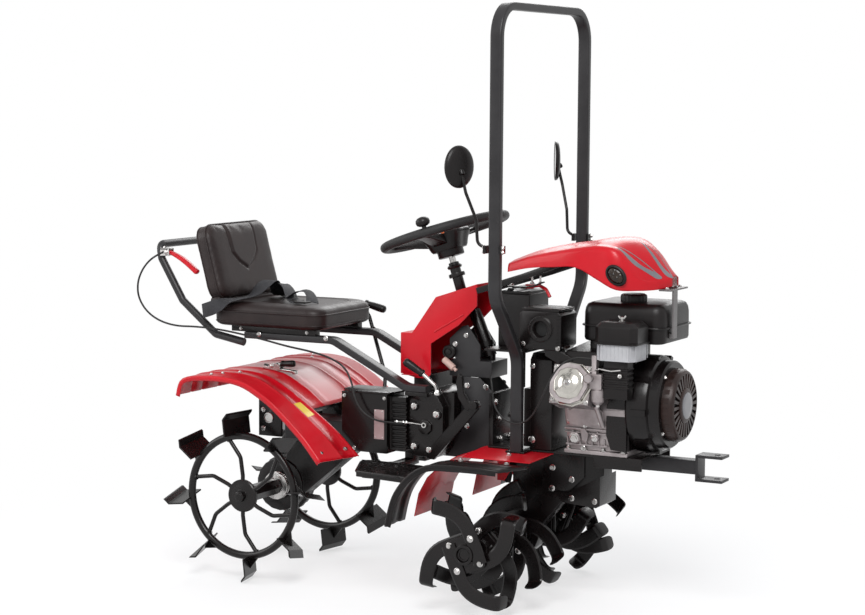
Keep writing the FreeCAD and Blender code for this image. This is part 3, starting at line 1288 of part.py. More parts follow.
battery_tray = new_body("battery_tray")
block(battery_tray, ("756", "bar_x + bar_deep / 2"),
      ("bar_wide / 2 - bar_leg_y", "bar_leg_y - bar_wide / 2"),
      ("739", "745"))
tray_ear = block(battery_tray, ("bar_x - bar_deep / 2", "bar_x + bar_deep / 2"),
                 ("bar_wide / 2 - bar_leg_y", "bar_wide / 2 - bar_leg_y + 6"), ("640", "745"))
mirror(battery_tray, [tray_ear])

carburettor = new_body("carburettor")
block(carburettor, ("head_x + head_wide / 2", "duct_back - 3"), ("-192", "-162"), ("658", "700"))
drum(carburettor, "XY", "1131", "-177", "17", "626", "658", 10)
drum(carburettor, "XY", "1131", "-177", "10", "618", "626", 10)
block(carburettor, ("1115", "1129"), ("-186", "-168"), ("700", "752"))

tank_bracket = new_body("tank_bracket")
for station in ("1060", "1160"):
    block(tank_bracket, (station, f"{station} + 24"), ("-70", "84"), ("block_top", "tank_low"))


def hood_section(station, half, crown, shoulder, edge, inset, closed=False):
    """A thin crescent across the hood at one station."""
    rise = crown - shoulder
    arch = [(-1, edge), (-0.97, (edge + shoulder) / 2), (-0.75, shoulder), (-0.4, crown - rise * 0.25),
            (0, crown)]
    arch += [(-share, height) for share, height in arch[-2::-1]]
    outer = [Vector(station, share * half, height) for share, height in arch]
    inner = []
    for share, height in arch:
        level = edge if abs(share) == 1 else height - inset
        if closed:
            level = edge + abs(abs(share) - 1) * 4
        inner.append(Vector(station, share * (half - inset), level))
    corners = outer + inner[::-1]
    return corners


hood_sheet = size("hood_sheet")
sections = [hood_section(*row_of, hood_sheet) for row_of in HOOD[:-1]]
sections.append(hood_section(*HOOD[-1], hood_sheet, True))
hood = skinned(sections)
shape_node("hood", [hood])

hood_bars = flat_bar([spot("700", "-cover_half - 2.5", "905"), spot("860", "-98", "956"),
                      spot("984", "-114.4", "1000")], 5, 18, 60)
shape_node("hood_bars", both_sides(hood_bars))

hood_post = new_body("hood_post")
block(hood_post, ("1297", "1303"), ("-45", "-15"), ("tank_low + 16", "936"))
block(hood_post, ("1265", "1303"), ("-66", "66"), ("931", "936"))
block(hood_post, ("tank_front", "1303"), ("-45", "-15"), ("tank_low + 16", "tank_low + 30"))

lamps = []
for lamp_side in (-1, 1):
    corners = []
    for step in range(14):
        angle = 2 * math.pi * step / 14
        along = 27 * math.cos(angle)
        across = 18 * math.sin(angle)
        lean = math.radians(-40)
        corners.append(Vector(1169.7 + along * math.cos(lean) - across * math.sin(lean), lamp_side * 147.4,
                              977 + along * math.sin(lean) + across * math.cos(lean)))
    lamps.append(prism(corners, Vector(0, lamp_side * 7.6, 0)).cut(hood))
shape_node("marker_lamps", lamps)


def mirror_arm(name, side):
    """An oval head on a bent stem clamped round the rollover bar."""
    stem = round_bar([spot("830", f"{side} * 306", "1050"), spot("816", f"{side} * 312", "1120"),
                      spot("788", f"{side} * 330", "1205"), spot("772", f"{side} * 330", "1262")], 4.5,
                      24, 6)
    clamp = Part.makeBox(62, 30, 22, spot("816", f"{side} * 306 - 15", "1036"))
    hole = Part.makeBox(size("bar_deep + 0.2"), 60, 60,
                        spot("bar_x - bar_deep / 2 - 0.1", f"{side} * 306 - 30", "1020"))
    faces = []
    for reach, shift in ((1.0, -6), (1.0, 0), (0.7, 9)):
        corners = [Vector(shift, 49 * reach * math.cos(2 * math.pi * i / 16),
                          60 * reach * math.sin(2 * math.pi * i / 16))
                   for i in range(16)]
        faces.append(corners)
    head = skinned(faces)
    head.rotate(Vector(0, 0, 0), Vector(0, 0, 1), side * 27.5)
    head.translate(spot("768", f"{side} * 330", "1277"))
    shape_node(name, [stem.fuse([clamp.cut(hole), head])])


mirror_arm("mirror_right", -1)
mirror_arm("mirror_left", 1)

# ---------------------------------------------------------------- levers, pedal and cables

gear_stick = rod(spot("596", "-126", "598"), spot("596", "-126", "612"), 9, 8)
stick = round_bar([spot("596", "-126", "602"), spot("592", "-128", "622"), spot("548", "-138", "662")],
                  5.5, 10, 8)
grip = rod(spot("552", "-137", "658"), spot("499", "-150", "694"), 12, 8)
shape_node("gear_lever", [gear_stick.fuse([stick, grip])])

arm_y = "-cast_out - boss_tall"
pedal = new_body("pedal")
slab(pedal, "XZ", [("580", "412"), ("604", "408"), ("748", "570"), ("744", "592"), ("724", "590"),
                   ("580", "432")],
     f"{arm_y} - 12", arm_y)
slab(pedal, "XZ", [("712", "560"), ("724", "574"), ("700", "612"), ("694", "660"), ("682", "668"),
                   ("676", "640"), ("684", "598")],
     f"{arm_y} - 14", arm_y)
disc(pedal, "XZ", "738", "581", "13", f"{arm_y} - 30", arm_y)

shape_node("fender_lever", [
    rod(spot("34", "-100", "632.8"), spot("-17", "-100", "637.8"), 10, 8).fuse([
        rod(spot("99", "-100", "627.8"), spot("30", "-100", "633.8"), 5, 8),
        Part.makeBox(12, 14, 9.6, spot("86", "-107", "620.8"))])])

park_stick = round_bar([spot("290", "frame_wide / 2", "446"), spot("290", "100", "446"),
                        spot("262", "165", "600"), spot("190", "198", "776")], 6, 22, 8)
park_grip = rod(spot("194", "196", "766"), spot("176", "204", "812"), 12, 8)
shape_node("park_lever", [park_stick.fuse(park_grip)])

clutch_block = Part.makeBox(34, 26, 26, spot("-362", "-163", "970")).cut(loop)
solids = sorted(clutch_block.Solids, key=lambda solid: solid.Volume)
clutch_arm = round_bar([spot("-336", "-150", "985"), spot("-286", "-150", "962"),
                        spot("-232", "-150", "922")], 9, 30, 8)
shape_node("clutch_lever", [solids[-1].fuse(clutch_arm)])

cord("clutch_cable", CLUTCH_RUN, 3)
cord("throttle_cable", THROTTLE_RUN, 2.5)

# ---------------------------------------------------------------- check and write

doc.recompute()
for thing in doc.Objects:
    if "Invalid" in thing.State or "Error" in thing.State:
        raise RuntimeError(f"{thing.Label}: {thing.State}")
os.makedirs("parts", exist_ok=True)
for node in NODES:
    if node.Shape.isNull() or not node.Shape.isValid():
        raise RuntimeError(f"{node.Label} has no valid shape")
    node.Shape.exportStep(f"parts/{node.Label}.step")
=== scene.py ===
"""Looks of the mini tractor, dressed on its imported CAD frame. Metres, in the row frame."""

import json
import math

import bmesh
import bpy
from mathutils import Matrix, Vector
from mathutils.geometry import interpolate_bezier


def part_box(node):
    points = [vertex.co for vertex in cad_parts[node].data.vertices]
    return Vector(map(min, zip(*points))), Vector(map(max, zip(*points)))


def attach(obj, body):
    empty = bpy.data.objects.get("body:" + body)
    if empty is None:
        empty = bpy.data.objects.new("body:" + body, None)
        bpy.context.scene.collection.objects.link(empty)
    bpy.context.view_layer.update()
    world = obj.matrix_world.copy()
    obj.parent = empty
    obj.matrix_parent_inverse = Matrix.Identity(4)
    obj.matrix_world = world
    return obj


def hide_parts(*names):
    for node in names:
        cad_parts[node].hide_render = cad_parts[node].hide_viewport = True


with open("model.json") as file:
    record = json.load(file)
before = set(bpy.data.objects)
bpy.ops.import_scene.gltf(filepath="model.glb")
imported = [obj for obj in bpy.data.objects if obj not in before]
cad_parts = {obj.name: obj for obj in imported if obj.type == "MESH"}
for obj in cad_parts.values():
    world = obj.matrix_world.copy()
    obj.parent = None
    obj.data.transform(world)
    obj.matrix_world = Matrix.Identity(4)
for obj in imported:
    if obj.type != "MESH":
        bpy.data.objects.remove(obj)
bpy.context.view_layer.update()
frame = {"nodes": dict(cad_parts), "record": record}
scene = bpy.context.scene

SHAFT_LOW, SHAFT_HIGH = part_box("half_shaft_right")
AXLE = (SHAFT_LOW[0] + SHAFT_HIGH[0]) / 2
SIDES = (("right", -1), ("left", 1))
# Thickness of the pressed sheet in millimetres, and the ways a form may face.
SHEET = 2.6
UP, OUT, FORE, AFT = (0, 0, 1), (0, -1, 0), (1, 0, 0), (-1, 0, 0)


def at(x, y, z):
    """A point given in millimetres from the rear axle, the centre line and the ground."""
    return Vector((AXLE + x / 1000, y / 1000, z / 1000))


def moved(x, y, z):
    """A matrix that shifts a form."""
    return Matrix.Translation((x, y, z))


def turned(degrees, axis):
    """A matrix that turns a form about an axis."""
    return Matrix.Rotation(math.radians(degrees), 4, axis)


# ------------------------------------------------------------------ materials

def node_of(tree, kind, values=None):
    """A new shader node with the values of its inputs."""
    return put(tree.nodes.new(f"ShaderNode{kind}"), values or {})


def put(node, values):
    """Set a node's inputs by their names."""
    for name, value in values.items():
        node.inputs[name].default_value = value
    return node


def wire(tree, *pairs):
    """Join outputs to inputs."""
    for source, target in pairs:
        tree.links.new(source, target)


def raised(material, texture, output, strength, depth):
    """Let a texture in the object's own space raise the surface of a finish."""
    tree = material.node_tree
    bump = node_of(tree, "Bump", {"Strength": strength, "Distance": depth})
    wire(tree, (tree.nodes["Texture Coordinate"].outputs["Object"], texture.inputs["Vector"]),
         (texture.outputs[output], bump.inputs["Height"]),
         (bump.outputs["Normal"], tree.nodes["Principled BSDF"].inputs["Normal"]))


def finish_of(name, deep, pale, rough=(0.3, 0.4), metallic=0.0, coat=0.0, grain=0.0, scale=900.0, patch=9.0,
              specular=0.5):
    """A finish whose colour and gloss drift between two values, with a fine uneven grain."""
    material = bpy.data.materials.new(name)
    material.use_nodes = True
    tree = material.node_tree
    shader = put(tree.nodes["Principled BSDF"], {
        "Metallic": metallic, "Coat Weight": coat, "Coat Roughness": 0.06, "Specular IOR Level": specular})
    where = node_of(tree, "TexCoord")
    drift = node_of(tree, "TexNoise", {"Scale": patch, "Detail": 6.0, "Roughness": 0.62})
    shade = node_of(tree, "ValToRGB")
    for stop, position, colour in zip(shade.color_ramp.elements, (0.32, 0.7), (deep, pale)):
        stop.position = position
        stop.color = (*colour, 1)
    gloss = node_of(tree, "MapRange", {"To Min": rough[0], "To Max": rough[1]})
    wire(tree, (where.outputs["Object"], drift.inputs["Vector"]), (drift.outputs["Fac"], shade.inputs["Fac"]),
         (drift.outputs["Fac"], gloss.inputs["Value"]), (shade.outputs["Color"], shader.inputs["Base Color"]),
         (gloss.outputs["Result"], shader.inputs["Roughness"]))
    if grain:
        raised(material, node_of(tree, "TexNoise", {"Scale": scale, "Detail": 3.0}), "Fac", grain, 0.0004)
    return material


BLACK = finish_of("gloss_black", (0.003, 0.002, 0.002), (0.007, 0.005, 0.005), (0.2, 0.34), grain=0.1,
                  scale=240, specular=0.3)
GREY = finish_of("satin_grey", (0.012, 0.011, 0.012), (0.022, 0.021, 0.022), (0.34, 0.46), grain=0.1,
                 scale=420, specular=0.32)
RED = finish_of("gloss_red", (0.42, 0.002, 0.008), (0.52, 0.004, 0.013), (0.3, 0.38), coat=0.12, grain=0.12,
                scale=170, patch=5.0, specular=0.25)
VINYL = finish_of("vinyl", (0.01, 0.005, 0.005), (0.018, 0.01, 0.009), (0.36, 0.5), patch=14.0, specular=0.3)
cells = node_of(VINYL.node_tree, "TexVoronoi")
cells.feature = "DISTANCE_TO_EDGE"
raised(VINYL, put(cells, {"Scale": 620.0}), "Distance", 0.35, 0.0004)
PLASTIC = finish_of("black_plastic", (0.004, 0.003, 0.003), (0.008, 0.006, 0.006), (0.26, 0.42), grain=0.4,
                    scale=1300, specular=0.26)
CAST = finish_of("cast_aluminium", (0.24, 0.21, 0.21), (0.4, 0.36, 0.36), (0.34, 0.52), 0.75, grain=0.8,
                 scale=700, patch=20.0)
STEEL = finish_of("bright_steel", (0.4, 0.39, 0.38), (0.66, 0.64, 0.63), (0.16, 0.3), 1.0, grain=0.2,
                  scale=300, patch=30.0)
PRESSED = finish_of("pressed_bright", (0.34, 0.33, 0.3), (0.56, 0.54, 0.5), (0.16, 0.26), 1.0, grain=0.1,
                    scale=200, patch=12.0)
MIRROR = finish_of("mirror_glass", (0.5, 0.5, 0.51), (0.54, 0.54, 0.55), (0.03, 0.05), 1.0, patch=3.0)
BOWL = finish_of("grey_bowl", (0.27, 0.27, 0.28), (0.4, 0.4, 0.41), (0.28, 0.4), grain=0.3, scale=500)
WEBBING = finish_of("webbing", (0.007, 0.007, 0.009), (0.016, 0.016, 0.02), (0.62, 0.8), patch=30.0)
ribs = node_of(WEBBING.node_tree, "TexWave", {"Scale": 260.0, "Distortion": 0.6})
ribs.bands_direction = "Y"
raised(WEBBING, ribs, "Fac", 0.6, 0.0006)
RUBBER = finish_of("rubber", (0.009, 0.009, 0.009), (0.02, 0.019, 0.019), (0.45, 0.62), grain=0.4,
                   specular=0.3)
LENS = finish_of("dark_lens", (0.004, 0.003, 0.003), (0.03, 0.016, 0.008), (0.14, 0.24), coat=0.1, patch=90.0,
                 specular=0.3)
DECAL = finish_of("grey_decal", (0.11, 0.11, 0.12), (0.17, 0.17, 0.18), coat=0.4)
YELLOW = finish_of("yellow_label", (0.72, 0.5, 0.01), (0.8, 0.58, 0.015), (0.35, 0.45), coat=0.2)
PLATE = finish_of("blank_plate", (0.3, 0.2, 0.2), (0.46, 0.34, 0.34), (0.3, 0.45), 0.5)
AMBER = finish_of("amber_mark", (0.6, 0.1, 0.01), (0.75, 0.16, 0.02), coat=0.3)
SCREEN = finish_of("dark_screen", (0.012, 0.006, 0.005), (0.03, 0.013, 0.01), (0.3, 0.45), 0.1, specular=0.3)
ZINC = finish_of("dull_zinc", (0.1, 0.094, 0.094), (0.17, 0.16, 0.16), (0.36, 0.5), 0.6, grain=0.3)
TAN = finish_of("tan_sleeve", (0.4, 0.26, 0.22), (0.55, 0.38, 0.33), (0.5, 0.65), grain=0.3)

FINISHES = {
    "black": BLACK, "dark_grey": GREY, "red_plastic": RED, "red": RED, "vinyl": VINYL,
    "black_plastic": PLASTIC, "aluminium": CAST, "steel": STEEL, "grey_bowl": BOWL, "webbing": WEBBING,
    "rubber": RUBBER, "lens": LENS,
}
SLOT_OF = {
    **{material: slot for slot, material in FINISHES.items()}, PRESSED: "aluminium", MIRROR: "steel",
    DECAL: "dark_grey", YELLOW: "red", PLATE: "aluminium", AMBER: "red_plastic", SCREEN: "black_plastic",
    TAN: "aluminium",
}
SLOTS = {entry["node"]: entry["material_slot"] for entry in frame["record"]["subparts"]}
for word, slot_name in SLOTS.items():
    node = frame["nodes"][word]
    if not node.material_slots:
        node.data.materials.append(FINISHES[slot_name])
    for place in node.material_slots:
        place.link = "OBJECT"
        place.material = FINISHES[slot_name]

# ------------------------------------------------------------------ forms

class Form:
    """Corners and faces gathered for one piece, in millimetres from the rear axle."""

    def __init__(self):
        self.corners = []
        self.faces = []

    def add(self, shape, place=None):
        """Take in a shape, moved by a matrix if one is given."""
        corners, faces = shape
        first = len(self.corners)
        self.corners += [place @ Vector(corner) if place else Vector(corner) for corner in corners]
        self.faces += [[first + index for index in face] for face in faces]
        return self


def skin(rows, joined=False, capped=True):
    """Faces strung between rows of corners, each row a closed ring."""
    count = len(rows[0])
    corners = [corner for row in rows for corner in row]
    faces = []
    for step in range(len(rows) if joined else len(rows) - 1):
        low = step * count
        high = (step + 1) % len(rows) * count
        for place in range(count):
            after = (place + 1) % count
            faces.append([low + place, low + after, high + after, high + place])
    if capped and not joined:
        faces.append(list(range(count))[::-1])
        faces.append([len(corners) - count + place for place in range(count)])
    return corners, faces


def stack(layers, axis="Z", joined=False):
    """A form strung through outlines of pairs, each at its own level of an axis."""
    return skin([[{"X": (level, a, b), "Y": (a, level, b), "Z": (a, b, level)}[axis] for a, b in outline]
                 for outline, level in layers], joined)


def slab(outline, axis, start, stop):
    """An outline of pairs drawn across an axis, carried along it."""
    return stack([(outline, start), (outline, stop)], axis)


def block(low, high):
    """A box between two corners."""
    (x, y, z), (far_x, far_y, far_z) = low, high
    return slab([(x, y), (far_x, y), (far_x, far_y), (x, far_y)], "Z", z, far_z)


def oval(wide, tall, count=48):
    """Pairs round an oval."""
    angles = [2 * math.pi * i / count for i in range(count)]
    return [(wide * math.cos(angle), tall * math.sin(angle)) for angle in angles]


def circle(radius, count=16):
    """Pairs round a circle."""
    return oval(radius, radius, count)


def lathe(steps, count=48, joined=False):
    """A form turned about Z from pairs of radius and height."""
    return stack([(circle(max(radius, 0.05), count), height) for radius, height in steps], "Z", joined)


def ring(radius, thick, squash=1.0):
    """A ring about Z, its section a circle pressed flatter."""
    return skin([[((radius + a) * x, (radius + a) * y, squash * b) for a, b in circle(thick, 18)]
                 for x, y in circle(1, 96)], joined=True)


def bent(points, bend, steps=6):
    """A path through the points with each corner rounded by an arc."""
    points = [Vector(point) for point in points]
    line = [points[0]]
    for before, corner, after in zip(points, points[1:], points[2:]):
        into = (corner - before).normalized()
        away = (after - corner).normalized()
        turn = into.angle(away)
        if turn < 0.02:
            line.append(corner)
            continue
        room = min((corner - before).length * 0.49, (after - corner).length * 0.49)
        reach = min(bend * math.tan(turn / 2), room)
        radius = reach / math.tan(turn / 2)
        inward = (away - into * into.dot(away)).normalized()
        centre = corner - into * reach + inward * radius
        for step in range(steps + 1):
            angle = turn * step / steps
            line.append(centre + into * (radius * math.sin(angle)) - inward * (radius * math.cos(angle)))
    return line + [points[-1]]


def section(point, side, rise, outline):
    """A row of corners: an outline of pairs set about a point."""
    return [point + side * a + rise * b for a, b in outline]


def along(path, outline, up=UP):
    """An outline of pairs, sideways and upward, carried along a path and stretched at its corners."""
    rows = []
    for point, before, after in zip(path, [None, *path], [*path[1:], None]):
        into = (after - point if before is None else point - before).normalized()
        away = into if after is None else (after - point).normalized()
        way = (into + away).normalized()
        stretch = 1 / max(way.dot(into), 0.5)
        side = way.cross(Vector(up)).normalized()
        rise = side.cross(way)
        sideways, upward = abs(side.dot(away - into)), abs(rise.dot(away - into))
        rows.append(section(point, side * (stretch if sideways > upward else 1),
                            rise * (stretch if upward > sideways else 1), outline))
    return skin(rows)


def rounded_box(wide, tall, corner, steps=4):
    """An outline of pairs for a bar of rounded rectangular section."""
    outline = []
    for quarter, (sx, sy) in enumerate(((1, 1), (-1, 1), (-1, -1), (1, -1))):
        for step in range(steps + 1):
            angle = math.pi / 2 * (quarter + step / steps)
            outline.append((sx * (wide / 2 - corner) + corner * math.cos(angle),
                            sy * (tall / 2 - corner) + corner * math.sin(angle)))
    return outline


def tube(points, radius, bend=20, count=16, up=UP):
    """A round bar through the points."""
    return along(bent(points, bend), circle(radius, count), up)


def eased(rows, steps):
    """Rows of numbers with more rows between them on a smooth curve through all."""
    line = []
    for before, start, end, after in zip([rows[0], *rows], rows, rows[1:], [*rows[2:], rows[-1]]):
        for t in (step / steps for step in range(steps)):
            line.append([0.5 * (2 * b + (c - a) * t + (2 * a - 5 * b + 4 * c - d) * t * t
                                + (3 * b - a - 3 * c + d) * t ** 3)
                         for a, b, c, d in zip(before, start, end, after)])
    return line + [list(rows[-1])]


def heading(path, step):
    """The way a path runs at one of its places."""
    ahead = path[min(step + 1, len(path) - 1)]
    return (Vector(ahead) - Vector(path[max(step - 1, 0)])).normalized()


def facing(place, direction):
    """A matrix that carries a form drawn up Z to a place, facing a direction."""
    return moved(*place) @ Vector(direction).to_track_quat("Z", "Y").to_matrix().to_4x4()


def bolt(across, tall, washer):
    """A hexagon head with a washer, its top chamfered, facing up Z."""
    half = across / 2 / math.cos(math.pi / 6)
    form = Form().add(lathe([(washer, -0.5), (washer, 1.2), (washer * 0.9, 1.8)], 20))
    form.add(lathe([(half, 1.6), (half, tall - 1.2), (half * 0.84, tall)], 6))
    form.add(lathe([(half * 0.62, tall - 0.5), (half * 0.55, tall + 0.8)], 14))
    return form.corners, form.faces


def mesh_of(name, form):
    """A mesh from a form or a shape."""
    form = form if isinstance(form, Form) else Form().add(form)
    mesh = bpy.data.meshes.new(name)
    mesh.from_pydata([at(*corner) for corner in form.corners], [], form.faces)
    return mesh


def linked(name, data):
    """An object of the scene that shows some data."""
    thing = bpy.data.objects.new(name, data)
    scene.collection.objects.link(thing)
    return thing


def made(name, form, material, body="chassis", slot=None, **look):
    """A piece from a form, given its finish and its body."""
    return dressed(name, mesh_of(name, form), material, body, slot or SLOT_OF[material], **look)


SHARP = 30


def dressed(name, mesh, material, body, slot, edge=0.0, steps=2, smooth=36, stands_for=()):
    """Make an object of a mesh, with rounded edges, a finish and a body to ride."""
    shell = bmesh.new()
    shell.from_mesh(mesh)
    bmesh.ops.recalc_face_normals(shell, faces=shell.faces)
    shell.to_mesh(mesh)
    shell.free()
    thing = linked(name, mesh)
    mesh.shade_smooth()
    if edge:
        rounding = thing.modifiers.new("rounding", "BEVEL")
        rounding.width = edge / 1000
        rounding.segments = steps
        rounding.angle_limit = math.radians(SHARP)
        rounding.harden_normals = True
        rounding.use_clamp_overlap = True
        settle(thing)
    else:
        mesh.set_sharp_from_angle(angle=math.radians(smooth))
    thing.data.materials.clear()
    thing.data.materials.append(material)
    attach(thing, body)
    if stands_for:
        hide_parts(stands_for)
    return thing


def settle(thing):
    """Turn an object's modifiers into plain mesh."""
    graph = bpy.context.evaluated_depsgraph_get()
    mesh = bpy.data.meshes.new_from_object(thing.evaluated_get(graph))
    thing.modifiers.clear()
    thing.data = mesh


def walled(thing, thick, offset):
    """Give a sheet its thickness in millimetres."""
    wall = thing.modifiers.new("wall", "SOLIDIFY")
    wall.thickness = thick / 1000
    wall.offset = offset
    settle(thing)


BODY_OF = {rider: body for body, riders in frame["record"]["behaviour"]["bodies"].items() for rider in riders}


def softened(word, edge, material):
    """A CAD node with its hard edges rounded over, in the node's place."""
    mesh = frame["nodes"][word].data.copy()
    shell = bmesh.new()
    shell.from_mesh(mesh)
    bmesh.ops.remove_doubles(shell, verts=shell.verts, dist=0.00002)
    bmesh.ops.dissolve_limit(shell, angle_limit=math.radians(1), verts=shell.verts, edges=shell.edges)
    shell.to_mesh(mesh)
    shell.free()
    dressed(f"{word}_finished", mesh, material, BODY_OF[word], SLOTS[word], edge, stands_for=word)


# ------------------------------------------------------------------ camera and light

CAMERA_PLACE = (3.4537, -5.645, 1.4834)
CAMERA_TURN, CAMERA_DIP, CAMERA_ROLL = 27.512, 5.774, 0.364
LENS_LONG = 88.53


def camera():
    """The camera stands to the front right of the machine."""
    data = bpy.data.cameras.new("camera")
    data.lens = LENS_LONG
    data.sensor_width = 36
    thing = linked("camera", data)
    swing = turned(CAMERA_TURN, "Z") @ turned(90 - CAMERA_DIP, "X") @ turned(CAMERA_ROLL, "Z")
    thing.matrix_world = moved(AXLE, 0, 0) @ moved(*CAMERA_PLACE) @ swing
    scene.camera = thing


def lamp(name, place, aim, wide, power):
    """A soft square light."""
    data = bpy.data.lights.new(name, "AREA")
    data.size = wide
    data.energy = power
    thing = linked(name, data)
    thing.location = place
    thing.rotation_euler = (Vector(aim) - Vector(place)).to_track_quat("-Z", "Y").to_euler()


def seen_directly(tree):
    """One for rays from the camera, from gloss or through glass, and nought for the rest."""
    path = node_of(tree, "LightPath")
    found = path.outputs["Is Camera Ray"]
    for kind in ("Is Glossy Ray", "Is Transmission Ray"):
        larger = node_of(tree, "Math")
        larger.operation = "MAXIMUM"
        wire(tree, (found, larger.inputs[0]), (path.outputs[kind], larger.inputs[1]))
        found = larger.outputs[0]
    return found


def mixed(tree, share, first, second, goal):
    """Mix two shaders by a share and lead them to the surface of an output node."""
    mix = node_of(tree, "MixShader")
    wire(tree, (share, mix.inputs["Fac"]), (first.outputs[0], mix.inputs[1]),
         (second.outputs[0], mix.inputs[2]), (mix.outputs[0], tree.nodes[goal].inputs["Surface"]))


def white_floor():
    """Pale ground that keeps the shadow near the machine and turns to plain white further out."""
    bpy.ops.mesh.primitive_plane_add(size=80, location=(0, 0, 0))
    floor = bpy.context.object
    floor.name = "floor"
    material = bpy.data.materials.new("floor_white")
    material.use_nodes = True
    tree = material.node_tree
    shader = put(tree.nodes["Principled BSDF"], {
        "Base Color": (0.94, 0.94, 0.94, 1), "Roughness": 0.95, "Specular IOR Level": 0.0})
    where = node_of(tree, "TexCoord")
    reach = node_of(tree, "VectorMath")
    reach.operation = "LENGTH"
    fade = node_of(tree, "MapRange", {"From Min": 0.7, "From Max": 1.9, "To Min": 0.6})
    fade.interpolation_type = "SMOOTHSTEP"
    share = node_of(tree, "Math")
    share.operation = "MULTIPLY"
    wire(tree, (where.outputs["Object"], reach.inputs[0]), (reach.outputs["Value"], fade.inputs["Value"]),
         (fade.outputs["Result"], share.inputs[0]), (seen_directly(tree), share.inputs[1]))
    mixed(tree, share.outputs[0], shader, node_of(tree, "Emission"), "Material Output")
    floor.data.materials.append(material)


def white_sky():
    """A world that lights softly but looks pure white."""
    world = bpy.data.worlds.new("world")
    scene.world = world
    world.use_nodes = True
    tree = world.node_tree
    soft = put(tree.nodes["Background"], {"Color": (0.92, 0.94, 1.0, 1), "Strength": 0.55})
    white = node_of(tree, "Background", {"Color": (1, 1, 1, 1), "Strength": 1.0})
    mixed(tree, seen_directly(tree), soft, white, "World Output")


camera()
lamp("key", (1.6, -3.4, 4.0), (0, 0, 0.6), 2.2, 190)
lamp("fill", (-3.8, -2.4, 2.2), (0, 0, 0.6), 2.6, 70)
lamp("rim", (-0.8, 3.8, 3.4), (0, 0, 0.8), 2.6, 90)
white_floor()
white_sky()
scene.view_settings.view_transform = "Standard"

# ------------------------------------------------------------------ cables

CLUTCH_RUN = [
    (-346, -165, 984), (-358, -199, 972), (-386, -206, 946), (-414, -198, 912), (-434, -184, 876),
    (-436, -175, 836), (-410, -172, 796), (-364, -171, 768), (-300, -170, 754), (-222, -171, 757),
    (-140, -170, 753), (-58, -170, 743), (24, -169, 730), (104, -165, 714), (180, -161, 704),
    (248, -161, 690), (304, -166, 666), (336, -179, 626), (352, -189, 578), (377, -187, 536),
    (418, -182, 514), (462, -175, 510), (505, -172, 510),
]
THROTTLE_RUN = [
    (743, -66, 660), (762, -104, 640), (788, -146, 618), (806, -172, 586), (825, -174, 558),
    (850, -172, 542), (879, -174, 537), (911, -176, 548), (938, -190, 572), (966, -212, 608),
    (994, -234, 650), (1020, -244, 696), (1040, -222, 730), (1066, -190, 744), (1090, -177, 742),
    (1115, -177, 742),
]


def cable(word, run, wide):
    """A control cable on one smooth line, fixed at both its ends."""
    data = bpy.data.curves.new(word, "CURVE")
    data.dimensions = "3D"
    data.bevel_depth = wide / 2000
    data.bevel_resolution = 4
    data.use_fill_caps = True
    data.resolution_u = 10
    spline = data.splines.new("NURBS")
    spline.points.add(len(run) - 1)
    for point, corner in zip(spline.points, run):
        point.co = (*at(*corner), 1)
    spline.order_u = 3
    spline.use_endpoint_u = True
    thing = linked(f"{word}_sleeve", data)
    data.materials.append(RUBBER)
    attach(thing, "chassis")
    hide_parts(word)


cable("clutch_cable", CLUTCH_RUN, 6)
cable("throttle_cable", THROTTLE_RUN, 5)

# ------------------------------------------------------------------ CAD nodes with rounded edges

ROUNDED = {
    "axle_case": 2.5, "battery": 3, "battery_tray": 0.8, "belt_case": 3, "engine_block": 3,
    "footrest_left": 1.2, "footrest_right": 1.2, "front_frame": 1.2, "front_hitch": 1.6, "hood_bars": 0.8,
    "hood_post": 1, "joint_plate": 1.5, "main_frame": 2.5, "muffler": 4, "side_box": 1.5,
    "steering_cover": 2, "steering_support": 1.5, "tank_bracket": 1.5, "tiller_case": 2.5,
    "tiller_guard": 1, "transmission": 3, "fender_support": 1.5, "seat_slides": 1.2, "pedal": 2.5,
    "carburettor": 2, "air_cleaner": 3, "air_bowl": 2.5, "half_shaft_right": 1.5, "half_shaft_left": 1.5,
    "tiller_shaft": 0.8, "fender_lever": 1.5,
}
OWN_FINISH = {"fender_lever": STEEL, "hood_post": ZINC}
for word, edge in ROUNDED.items():
    softened(word, edge, OWN_FINISH.get(word, FINISHES[SLOTS[word]]))

# ------------------------------------------------------------------ wheels and tines

RING_RADIUS = 184
WHEEL_HIGH = 260
WHEEL_OUT = 254
LUG_HALF = 53
LUG_DROP = 18.2
LUG_SKEW = 13
LUG_THICK = 5
BLADE_HALF = 22
BLADE_THICK = 3
TILLER_X, TILLER_Z = 820, 190
INNER_BANK, OUTER_BANK = 96, 380


